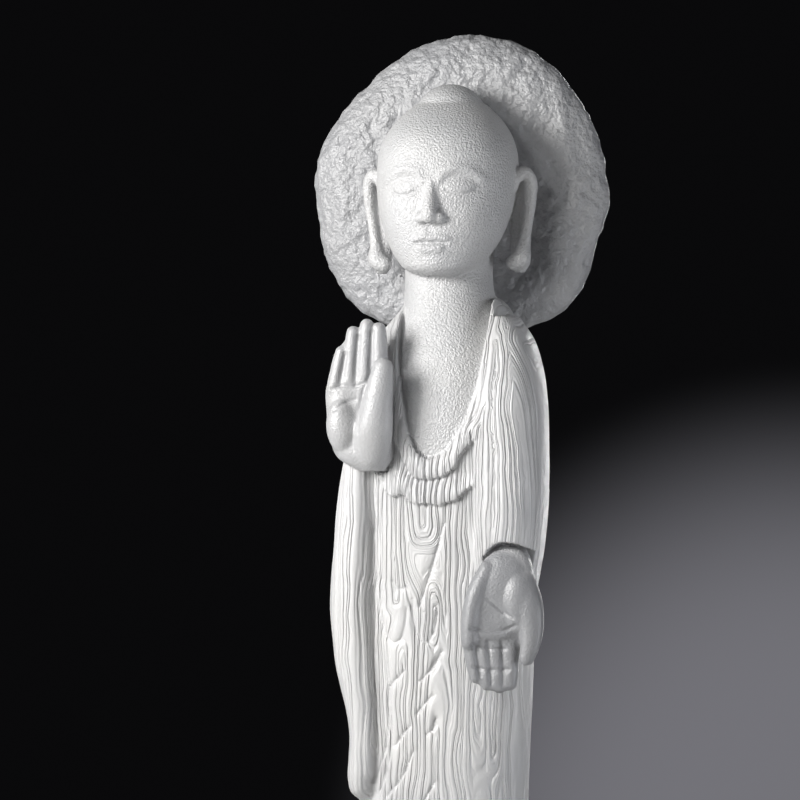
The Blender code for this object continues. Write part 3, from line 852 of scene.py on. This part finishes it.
# Longer folds that hang in curves, each through places (x, z)
LEFT_DRAPE = [(-23.4, 272), (-23.3, 244), (-22.4, 228), (-21.4, 217), (-19.0, 209)]
LEFT_DRAPE += [(-16.2, 205), (-13.6, 204.2), (-11.4, 206.8), (-9.8, 211.6), (-9.2, 218)]
MIDDLE_DRAPE = [(-6.7, 221.7), (-6.3, 212.7), (-3.8, 206.7), (-1.0, 204.4)]
MIDDLE_DRAPE += [(1.1, 207.5), (2.8, 212.7), (3.6, 219.8)]
SLEEVE_DRAPE = [(-20.8, 268), (-20.6, 240), (-19.6, 214), (-18.4, 196), (-17.2, 180)]
SLEEVE_DRAPE += [(-18.2, 164), (-24.0, 149)]
DRAPES = [
    LEFT_DRAPE,
    MIDDLE_DRAPE,
    [(-15.4, 229.0), (-13.4, 225.6), (-9.2, 226.4)],
    SLEEVE_DRAPE,
    [(-18.2, 200), (-16.6, 184), (-15.6, 172), (-17.0, 158), (-21.0, 146)],
]


def drapery(x, z):
    """Depth of the folds in the front of the robe: a soft hollow along each, with a cut in it."""
    depth = np.zeros(len(x))
    for folds, steps, hollow, cut in ((FOLDS, 9, 0.40, 0.6), (DRAPES, 28, 0.25, 0.55)):
        for knots in folds:
            path = curve(knots, steps)
            fold = hollow * groove(x, z, path, 1.9) + cut * groove(x, z, path, 0.6)
            depth = np.maximum(depth, fold)
    return depth


# Hearts of the wood grain: x, y, the height under which the rings close downwards, how fast,
# the height over which they close upwards, and the rings' spacing.
HEARTS = [
    (-34.0, -26.0, 120, 0.10, 400, 4.2),
    (-22.0, -27.0, 168, 0.12, 400, 1.5),
    (-13.4, -27.0, 222, 0.55, 400, 1.8),
    (-0.9, -28.0, 252, 0.60, 400, 2.0),
    (1.0, -28.0, 212, 0.30, 216, 1.3),
    (-11.0, -27.0, 140, 0.16, 196, 2.2),
    (12.5, -28.0, 60, 0.10, 400, 2.0),
    (3.0, -27.0, 96, 0.12, 160, 2.3),
    (24.3, -27.0, 164, 0.27, 400, 1.5),
    (20.0, -26.0, 80, 0.16, 128, 2.2),
    (36.0, -8.0, 40, 0.10, 400, 3.0),
    (25.0, -31.0, 236, 0.20, 400, 1.9),
    (52.0, -14.0, 60, 0.10, 400, 2.0),
    (-38.0, 4.0, 60, 0.08, 400, 3.0),
    (-15.0, 25.0, 150, 0.16, 240, 2.6),
    (16.0, 25.0, 230, 0.16, 290, 2.6),
    (2.0, 25.0, 60, 0.10, 130, 2.4),
]
RING_POWER = 2.8  # how square the rings are round a heart: 2 would be round
SPACING_SHARE = 0.9  # the distance from ring to ring, as a share of the spacing in HEARTS
MELD = 2.5  # how sharply the rings of one heart give way to the next one's


def grain(points):
    """Number of the growth ring at each point of the robe, counted from the nearest heart."""
    x, y, z = points.T
    x = x + 2.4 * noise(points, (24, 24, 52), seed=3) + 1.3 * noise(points, (9, 9, 20), seed=4)
    x = x + 0.5 * noise(points, (4, 4, 9), seed=6) + 0.3 * noise(points, (2.4, 2.4, 4.2), seed=7)
    x = x - 5 * rise(-z, -305, -250) * rise(x, 20, 40) * rise(z, 215, 235)
    rings = []
    for heart_x, heart_y, closes, rate, opens, spacing in HEARTS:
        beside = np.abs(x - heart_x)
        behind = np.maximum(np.abs(y - heart_y) - 6, 0)
        ends = rate * (np.maximum(closes - z, 0) + np.maximum(z - opens, 0))
        away = (beside**RING_POWER + behind**RING_POWER + ends**RING_POWER) ** (1 / RING_POWER)
        rings.append(away / spacing / SPACING_SHARE)
    away = from_neckline(x, z) + 0.5 * np.maximum(292 - z, 0)
    rings.append(np.where(y < 0, 0.4 + away / 1.9, 99))
    rings = np.array(rings)
    least = rings.min(0)
    least -= np.log(np.exp(-MELD * (rings - least)).sum(0)) / MELD
    return least + 0.2 * np.sin(1.9 * least)


def grain_depth(x, y, z):
    """How deep the grain is weathered out of each stretch of the robe."""
    front = 1 - rise(y, -16, -6)
    sleeve = between(x, -60, -25.5, 2) * between(z, 140, 330, 6)
    band = rise(x, 28, 32) * (1 - rise(z, 196, 206))
    arm = rise(x, 12, 15) * rise(z, 200, 210)
    edge = between(x, -24.5, -15, 1.5) * between(z, 150, 276, 6)
    depth = 0.48 - 0.30 * sleeve - 0.34 * band - 0.04 * arm + 0.08 * edge
    depth *= 1 - 0.65 * rise(z, 308, 330)
    depth *= 1 - 0.75 * rise(z, 294, 316) * rise(x, 27, 35)
    return depth * (0.62 + 0.38 * front)


# How deep each line of the grain is cut, as a share of the deepest
LINE_STRENGTHS = np.random.default_rng(8).uniform(0.28, 1.0, 101) ** 1.6
LINE_WIDTH = 0.24  # as a share of the distance to the next line


def weathered(points, rings):
    """Depth of the grain's grooves: narrow cuts between rounded ridges, some of them deeper."""
    x, y, z = points.T
    line = np.round(rings)
    strength = LINE_STRENGTHS[line.astype(int) % len(LINE_STRENGTHS)]
    fade = np.clip(0.75 + 0.8 * noise(points, (7, 7, 22), seed=5), 0.08, 1.35)
    cut = np.exp(-(((rings - line) / LINE_WIDTH) ** 2))
    return grain_depth(x, y, z) * strength * fade * cut


# Lines of the face's features (x, z) on one side of its middle
BROW = [(3.6, 386.5), (5.4, 389.2), (9.5, 391.0), (14.5, 390.4), (19.5, 387.0)]
LASHES = [(6.0, 382.4), (8.6, 381.3), (11.4, 380.8), (14.4, 381.2), (16.8, 382.5)]
UPPER_LIP = [(0, 363.7), (2.2, 364.2), (6.8, 362.8)]
LOWER_LIP = [(0, 359.4), (3.0, 359.6), (5.2, 360.6)]
MOUTH = [(0, 361.7), (2.4, 361.9), (5.4, 361.8), (8.2, 362.7)]


def face_relief(x, z):
    """How far the calm, lowered face stands off the plain skull. It is the same on both sides."""
    x = np.abs(x)
    relief = -1.6 * np.exp(-(((x - 10.8) / 7.4) ** 2) - ((z - 384.6) / 4.8) ** 2)
    relief += 0.8 * groove(x, z, curve(BROW, 16), 1.8)
    lid = 1 - ((x - 11.2) / 7.0) ** 2 - ((z - 383.4) / 4.4) ** 2
    relief += 1.7 * np.clip(lid, 0, 1)
    relief -= 0.8 * groove(x, z, curve(LASHES, 16), 0.6)
    relief += 0.9 * np.exp(-((x / 10.0) ** 2) - ((z - 361.5) / 7.0) ** 2)
    relief += 0.8 * groove(x, z, curve(UPPER_LIP, 12), 1.2)
    relief += 0.9 * groove(x, z, curve(LOWER_LIP, 12), 1.6) * (1 - rise(x, 3.5, 6.5))
    relief -= 1.15 * groove(x, z, curve(MOUTH, 14), 0.7) * (1 - rise(x, 5, 9))
    relief -= 0.4 * np.exp(-((x / 1.3) ** 2) - ((z - 366.8) / 1.9) ** 2)
    relief += 1.0 * np.exp(-((x / 6.0) ** 2) - ((z - 353.6) / 3.6) ** 2)
    relief += 0.7 * np.exp(-(((x - 14.5) / 7.5) ** 2) - ((z - 371) / 7.0) ** 2)
    return relief


# Creases of the palms and finger joints, first the raised hand's and then the lowered one's
PALM_LINES = [
    [(-37.4, 304.4), (-33.0, 305.6), (-28.4, 305.4), (-24.2, 306.8)],
    [(-19.8, 313.0), (-23.0, 309.0), (-25.2, 302.0), (-26.4, 294.0), (-26.0, 286.5)],
    [(-36.0, 296.0), (-32.0, 299.2), (-28.2, 300.2)],
    [(19.6, 211.4), (25.0, 210.6), (31.0, 210.4), (36.4, 212.6)],
    [(25.6, 222.8), (29.0, 220.2), (32.6, 217.2), (35.6, 215.6)],
    [(20.4, 204.6), (26.0, 203.6), (32.0, 203.4)],
    [(20.0, 196.4), (26.0, 195.4), (33.6, 195.6)],
]

# Valleys between the fingers, in the same order
FINGER_VALLEYS = [
    [(-34.3, 306.0), (-33.4, 312.0), (-32.2, 318.0)],
    [(-28.2, 306.0), (-27.8, 316.0), (-27.2, 325.0)],
    [(-22.3, 306.0), (-22.2, 317.0), (-22.0, 327.0)],
    [(20.6, 205.0), (21.6, 199.0), (22.4, 193.0)],
    [(25.7, 206.0), (26.3, 198.0), (26.9, 190.0)],
    [(30.9, 206.0), (31.1, 198.0), (31.3, 190.0)],
]

# Middle (x, z), half width, half height and depth of the hollow in each palm
PALM_HOLLOWS = [(-28.5, 299, 5.0, 8.0, 1.3), (27.0, 217, 5.5, 7.0, 1.4)]


def creases(x, z, paths, steps, width):
    """1 along each of the paths and falling to 0 beside them."""
    depth = np.zeros(len(x))
    for knots in paths:
        depth = np.maximum(depth, groove(x, z, curve(knots, steps), width))
    return depth


def palm_relief(x, z):
    """The hollow of each palm and its creases, where the two hands face forward."""
    relief = np.zeros(len(x))
    for across, height, wide, tall, deep in PALM_HOLLOWS:
        relief -= deep * np.exp(-(((x - across) / wide) ** 2) - ((z - height) / tall) ** 2)
    cuts = creases(x, z, PALM_LINES, 12, 0.7)
    valleys = creases(x, z, FINGER_VALLEYS, 8, 0.9)
    return relief - 0.6 * cuts - 0.65 * valleys


# The hollow inside the right ear's rim, places (x, z). The left ear's is its mirror image.
EAR_HOLLOW = [(29.2, 361.0), (30.2, 370.0), (30.8, 380.0), (30.2, 386.0)]

# Turns the stone's lumps, so that they don't all lie upright
SLANT = np.array(Matrix.Rotation(math.radians(28), 3, "Y"))


def rough_stone(points, depth):
    """Chiselled, pitted face, as on the halo: broad lumps with smaller and smaller ones on them."""
    lumps = noise(points, (13, 13, 13), seed=31)
    lumps += 0.85 * noise(points @ SLANT, (5.0, 5.0, 8.5), seed=32)
    lumps += 0.6 * noise(points @ SLANT, (2.4, 2.4, 3.6), seed=33)
    lumps -= 0.5 * np.abs(noise(points, (6.5, 6.5, 6.5), seed=34))
    return depth * lumps


def mould_line(y, z):
    """1 along the seam that the mould leaves down both sides of the robe."""
    return np.exp(-(((y + 5.0) / 0.6) ** 2)) * between(z, 8, 210, 4)


def surface(points, cloth):
    """What each point belongs to: shares of stone and of bare skin, and its ring of grain."""
    y, z = points[:, 1], points[:, 2]
    stone = rise(y, 17.5, 19.5) * rise(z, 318, 322)
    stone = np.maximum(stone, rise(-z, -0.6, 0.4))
    skin = (1 - stone) * (1 - cloth)
    return stone, skin, grain(points)


def carve(points, normals, cloth):
    """Moves the skin's points to raise the collar and the face and to cut in the rest.

    cloth is 1 on the robe and 0 on bare skin, halo and base.
    """
    x, y, z = points.T
    stone, skin, rings = surface(points, cloth)
    forward = rise(-normals[:, 1], 0.2, 0.6) * (y < 0)
    away = from_neckline(x, z)
    banded = between(away, 0.8, 18.6, 1.0) * (1 - rise(z, 285, 300)) * (y < 0)
    lift = forward * cloth * collar(x, z, away)
    lift -= forward * cloth * drapery(x, z) * (1 - rise(z, 252, 258))
    lift -= cloth * (1 + 1.1 * banded) * weathered(points, rings)
    face = (z > CHIN) * (np.abs(x) < FACE_HALF_WIDTH) * (y < -5)
    lift += forward * face * face_relief(x, z)
    lift += forward * skin * (y < -30) * between(z, *HANDS, 1) * palm_relief(x, z)
    ears = forward * between(np.abs(x), 27.5, 34, 1) * between(z, 358, 388, 2) * (y < 14)
    lift -= 1.2 * ears * groove(np.abs(x), z, curve(EAR_HOLLOW, 10), 1.3)
    lift += stone * rough_stone(points, 0.75)
    lift -= cloth * 0.45 * mould_line(y, z)
    return points + normals * lift[:, None]


def cloth_share(points, cloth_solids, raised=0.0):
    """1 where a point lies on one of the robe's masses or raised above them, 0 where it doesn't."""
    trees = [BVHTree.FromPolygons(p.tolist(), f) for p, f in cloth_solids]
    away = np.full(len(points), np.inf)
    near = np.flatnonzero((points[:, 2] > -1) & (points[:, 2] < 348))
    away[near] = [min(tree.find_nearest(p)[3] for tree in trees) for p in points[near].tolist()]
    return 1 - rise(np.minimum(away - raised, 9), 0.5, 1.1)


def thinned(obj, triangles):
    """Fewer, well placed faces, and the base cut off flat on the floor."""
    ratio = triangles / sum(len(p.vertices) - 2 for p in obj.data.polygons)
    fewer = obj.modifiers.new("fewer", "DECIMATE")
    fewer.ratio = min(1.0, ratio)
    fewer.use_collapse_triangulate = True
    evaluated(obj)
    cut = bmesh.new()
    cut.from_mesh(obj.data)
    made = bmesh.ops.bisect_plane(
        cut,
        geom=cut.verts[:] + cut.edges[:] + cut.faces[:],
        plane_co=(0, 0, 0),
        plane_no=(0, 0, -1),
        clear_outer=True,
    )
    rim = [e for e in made["geom_cut"] if isinstance(e, bmesh.types.BMEdge)]
    bmesh.ops.contextual_create(cut, geom=rim)
    bmesh.ops.triangulate(cut, faces=[f for f in cut.faces if len(f.verts) > 3])
    bmesh.ops.recalc_face_normals(cut, faces=cut.faces)
    cut.to_mesh(obj.data)
    cut.free()
    return obj


def keep_value(mesh, name, values):
    """Stores one number a vertex, for the material."""
    stored = mesh.attributes.new(name, "FLOAT", "POINT")
    stored.data.foreach_set("value", values.astype(np.float32))


def casting():
    """The whole figure as one carved skin."""
    opening = as_object("opening", neck_opening())
    arch = as_object("arch", cuff_opening())
    body = as_object("body", robe())
    arm = as_object("arm", lowered_sleeve())
    for obj in (body, arm):
        cut_away(obj, opening)
        cut_away(obj, arch)
    cloth = [mesh_solid(body), mesh_solid(arm), hanging_sleeve()]
    obj = as_object("crystal_casting", joined(cloth + masses()))
    for spare in (body, arm, opening, arch):
        bpy.data.objects.remove(spare)
    merged(obj, VOXEL, ROUNDING)
    points = to_parts(mesh_points(obj.data))
    points = carve(points, mesh_normals(obj.data), cloth_share(points, cloth))
    obj.data.vertices.foreach_set("co", to_metres(points).astype(np.float32).ravel())
    thinned(obj, TRIANGLES)
    points = to_parts(mesh_points(obj.data))
    x, y, z = points.T
    share = cloth_share(points, cloth, (y < 0) * collar(x, z, from_neckline(x, z)))
    stone, skin, rings = surface(points, share)
    # The hands and the halo's upper part take the darker, clearer colour. The lowered hand, on the side
    # away from the key light, gets twice the raised hand's share, which is painted shade.
    hands = skin * rise(-y, 29, 32) * between(z, *HANDS, 2) * (0.45 + 0.45 * rise(x, -5, 5))
    clear_and_shade = np.maximum(hands, 0.75 * stone * rise(z, 310, 320))
    kept = {"cloth": share, "skin": skin, "stone": stone, "rings": rings, "clear_and_shade": clear_and_shade}
    for name, values in kept.items():
        keep_value(obj.data, name, values)
    obj.data.shade_smooth()
    return obj


# Material

MILKY_DARK = (0.57, 0.575, 0.59, 1)
MILKY_PALE = (0.67, 0.668, 0.665, 1)
CLEARER_AND_PAINTED_SHADE = (0.24, 0.245, 0.26, 1)  # darker colour where the casting is clearer, in the hands and the halo; on the lowered hand it is also painted shade

# Depths of the finest relief, in metres
PIT_DEPTH = 0.0008
HAMMERED_DEPTH = 0.0016
CUT_DEPTH = 0.0004
FIBRE_DEPTH = 0.00032


class Nodes:
    """Short calls to build one material's nodes."""

    def __init__(self, name):
        self.material = bpy.data.materials.new(name)
        self.material.use_nodes = True
        self.tree = self.material.node_tree
        self.shader = self.tree.nodes["Principled BSDF"]

    def link(self, source, socket):
        self.tree.links.new(source, socket)

    def add(self, kind, **settings):
        """A new node of that kind, with its settings."""
        node = self.tree.nodes.new(kind)
        for key, value in settings.items():
            setattr(node, key, value)
        return node

    def value(self, socket, given):
        """Links or sets the socket, whichever suits what is given."""
        if isinstance(given, bpy.types.NodeSocket):
            self.link(given, socket)
        else:
            socket.default_value = given

    def math(self, operation, first, second=0.0):
        node = self.add("ShaderNodeMath", operation=operation)
        self.value(node.inputs[0], first)
        self.value(node.inputs[1], second)
        return node.outputs[0]

    def attribute(self, name):
        return self.add("ShaderNodeAttribute", attribute_name=name).outputs["Fac"]

    def noise(self, scale, detail=2.0, stretch=(1, 1, 1)):
        """Noise through the object, its lumps about 1 / scale metres across."""
        place = self.add("ShaderNodeTexCoord").outputs["Object"]
        mapped = self.add("ShaderNodeMapping")
        self.link(place, mapped.inputs["Vector"])
        mapped.inputs["Scale"].default_value = stretch
        texture = self.add("ShaderNodeTexNoise")
        self.link(mapped.outputs[0], texture.inputs["Vector"])
        texture.inputs["Scale"].default_value = scale
        texture.inputs["Detail"].default_value = detail
        return texture.outputs["Fac"]

    def spread(self, source, low, high, to_low, to_high):
        """The source with low to high brought to to_low to to_high."""
        node = self.add("ShaderNodeMapRange")
        for index, given in enumerate((source, low, high, to_low, to_high)):
            self.value(node.inputs[index], given)
        return node.outputs[0]

    def lines(self, place, width):
        """0 at every whole number of place and 1 away from them, some of the lines fainter."""
        share = self.math("DIVIDE", self.math("PINGPONG", place, 0.5), width)
        square = self.math("MULTIPLY", share, share)
        depth = self.math("EXPONENT", self.math("MULTIPLY", square, -1.0))
        random = self.add("ShaderNodeTexWhiteNoise", noise_dimensions="1D")
        self.link(self.math("ROUND", place), random.inputs["W"])
        return self.math("SUBTRACT", 1.0, self.math("MULTIPLY", depth, random.outputs["Value"]))

    def bump(self, height, strength, distance, normal=None):
        """Relief of that height, distance metres deep at full strength, on top of normal."""
        node = self.add("ShaderNodeBump")
        self.value(node.inputs["Height"], height)
        self.value(node.inputs["Strength"], strength)
        node.inputs["Distance"].default_value = distance
        if normal is not None:
            self.link(normal, node.inputs["Normal"])
        return node.outputs[0]


def frosted_crystal():
    """Matte cast crystal: pitted on the skin, lined on the robe and hammered on the halo."""
    nodes = Nodes("frosted_crystal")
    shader = nodes.shader
    skin, cloth = nodes.attribute("skin"), nodes.attribute("cloth")
    stone, rings = nodes.attribute("stone"), nodes.attribute("rings")
    clear_and_shade = nodes.attribute("clear_and_shade")

    pits = nodes.noise(1250, detail=1.0)
    hammered = nodes.noise(420, detail=3.0)
    bare = nodes.math("MULTIPLY", skin, nodes.spread(clear_and_shade, 0.0, 0.45, 0.75, 0.3))
    wander = nodes.spread(nodes.noise(150, detail=2.0, stretch=(1, 1, 0.3)), 0.0, 1.0, -0.12, 0.12)
    place = nodes.math("ADD", rings, wander)
    cuts = nodes.lines(place, 0.20)
    fibres = nodes.lines(nodes.math("MULTIPLY", place, 3.0), 0.30)

    normal = nodes.bump(pits, bare, PIT_DEPTH)
    normal = nodes.bump(hammered, nodes.math("MULTIPLY", stone, 0.9), HAMMERED_DEPTH, normal)
    normal = nodes.bump(cuts, nodes.math("MULTIPLY", cloth, 0.9), CUT_DEPTH, normal)
    normal = nodes.bump(fibres, nodes.math("MULTIPLY", cloth, 0.9), FIBRE_DEPTH, normal)
    nodes.link(normal, shader.inputs["Normal"])

    clouds = nodes.noise(26, detail=3.0)
    tint = nodes.add("ShaderNodeMix", data_type="RGBA")
    nodes.link(nodes.spread(clouds, 0.3, 0.7, 0.0, 1.0), tint.inputs["Factor"])
    tint.inputs[6].default_value = MILKY_DARK
    tint.inputs[7].default_value = MILKY_PALE
    # Base colour turns towards the darker, clearer tone on the hands and the halo; the extra darkening
    # of the lowered hand is painted shade.
    clearer_and_shade = nodes.add("ShaderNodeMix", data_type="RGBA")
    clear = nodes.math("MAXIMUM", clear_and_shade, nodes.math("MULTIPLY", skin, 0.15))
    nodes.link(clear, clearer_and_shade.inputs["Factor"])
    nodes.link(tint.outputs[2], clearer_and_shade.inputs[6])
    clearer_and_shade.inputs[7].default_value = CLEARER_AND_PAINTED_SHADE
    nodes.link(clearer_and_shade.outputs[2], shader.inputs["Base Color"])

    matte = nodes.spread(nodes.noise(90, detail=4.0), 0.25, 0.75, 0.36, 0.50)
    nodes.link(matte, shader.inputs["Roughness"])
    shader.inputs["IOR"].default_value = 1.5
    shader.inputs["Specular IOR Level"].default_value = 0.8
    shader.inputs["Transmission Weight"].default_value = 0.25
    return nodes.material


FLOOR_RADIUS = 0.6
FLOOR_DROP = 0.0002  # metres under the base, so that the two faces don't flicker


def floor():
    """Plain pale round of floor under the base."""
    mesh = bpy.data.meshes.new("floor")
    made = bmesh.new()
    bmesh.ops.create_circle(made, cap_ends=True, segments=128, radius=FLOOR_RADIUS)
    made.to_mesh(mesh)
    made.free()
    obj = bpy.data.objects.new("floor", mesh)
    obj.location.z = -FLOOR_DROP
    bpy.context.scene.collection.objects.link(obj)
    nodes = Nodes("pale_floor")
    nodes.shader.inputs["Base Color"].default_value = (0.62, 0.62, 0.61, 1)
    matte = nodes.spread(nodes.noise(8, detail=4.0), 0.2, 0.8, 0.55, 0.75)
    nodes.link(matte, nodes.shader.inputs["Roughness"])
    mesh.materials.append(nodes.material)
    return obj


# Light and camera

AIM = Vector((-0.0178, -0.0018, 0.318))  # what the camera looks at
LIT_AT = Vector((0, 0, 0.27))  # what every light points at
CAMERA_TURN = 15.0  # degrees from straight ahead to the right
CAMERA_DISTANCE = 1.3
SENSOR_WIDTH = 36.0  # millimetres
FRAME_WIDTH = 0.32  # metres across the picture at the figure
GLOW_AT = Vector((-0.135, 0.995, -0.140)).normalized()  # where the backdrop is lit, from the figure
GLOW_TINT = (0.98, 0.97, 1.08)

WHITE, WARM, COOL = (1, 1, 1), (1.0, 0.985, 0.965), (0.95, 0.96, 1.0)

# Name, turn in degrees, distance, height, size, watts and colour
LIGHTS = [
    ("key", -40, 0.60, 0.49, (0.28, 0.30), 7.4, WARM),
    ("front", -18, 1.1, 0.90, (0.24, 0.24), 3.4, WHITE),
    ("fill", 84, 1.1, 0.14, (0.3, 0.6), 5.2, COOL),
    ("rim", 166, 0.9, 0.50, (0.06, 0.8), 2.6, WHITE),
    ("back", -150, 1.2, 0.60, (0.6, 0.8), 3.0, WHITE),
]


def around(turn, distance, height):
    """A place at that distance from the aim: turn is 0 in front, and positive to the right."""
    angle = math.radians(turn)
    return Vector((AIM.x + distance * math.sin(angle), AIM.y - distance * math.cos(angle), height))


def area_light(name, turn, distance, height, size, watts, colour):
    """Soft rectangular light that points at the figure."""
    data = bpy.data.lights.new(name, "AREA")
    data.shape = "RECTANGLE"
    data.size, data.size_y = size
    data.energy = watts
    data.color = colour
    obj = bpy.data.objects.new(name, data)
    obj.location = around(turn, distance, height)
    obj.rotation_euler = (LIT_AT - obj.location).to_track_quat("-Z", "Y").to_euler()
    bpy.context.scene.collection.objects.link(obj)


def lights():
    """Key light from the left, four weaker ones and a dark backdrop."""
    for row in LIGHTS:
        area_light(*row)
    scene = bpy.context.scene
    scene.world = backdrop()
    scene.view_settings.view_transform = "Standard"


def backdrop():
    """Near black all round, with one soft grey glow low behind the figure."""
    world = bpy.data.worlds.new("studio")
    world.use_nodes = True
    tree = world.node_tree
    facing = tree.nodes.new("ShaderNodeVectorMath")
    facing.operation = "DOT_PRODUCT"
    tree.links.new(tree.nodes.new("ShaderNodeTexCoord").outputs["Generated"], facing.inputs[0])
    facing.inputs[1].default_value = GLOW_AT
    glow = tree.nodes.new("ShaderNodeMapRange")
    glow.interpolation_type = "SMOOTHERSTEP"
    tree.links.new(facing.outputs["Value"], glow.inputs["Value"])
    falloff = {"From Min": 0.988, "From Max": 1.0, "To Min": 0.003, "To Max": 0.175}
    for name, value in falloff.items():
        glow.inputs[name].default_value = value
    cool = tree.nodes.new("ShaderNodeVectorMath")
    cool.operation = "MULTIPLY"
    tree.links.new(glow.outputs[0], cool.inputs[0])
    cool.inputs[1].default_value = GLOW_TINT
    tree.links.new(cool.outputs[0], tree.nodes["Background"].inputs["Color"])
    return world


def camera():
    """Long lens at the photograph's angle, level with what it looks at."""
    data = bpy.data.cameras.new("camera")
    data.sensor_width = SENSOR_WIDTH
    data.lens = data.sensor_width * CAMERA_DISTANCE / FRAME_WIDTH
    obj = bpy.data.objects.new("camera", data)
    obj.location = around(CAMERA_TURN, CAMERA_DISTANCE, AIM.z)
    obj.rotation_euler = (AIM - obj.location).to_track_quat("-Z", "Y").to_euler()
    bpy.context.scene.collection.objects.link(obj)
    bpy.context.scene.camera = obj


# Build

figure = casting()
figure.data.materials.clear()
figure.data.materials.append(frosted_crystal())
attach(figure, "root")
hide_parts(NODE)
floor()
lights()
camera()
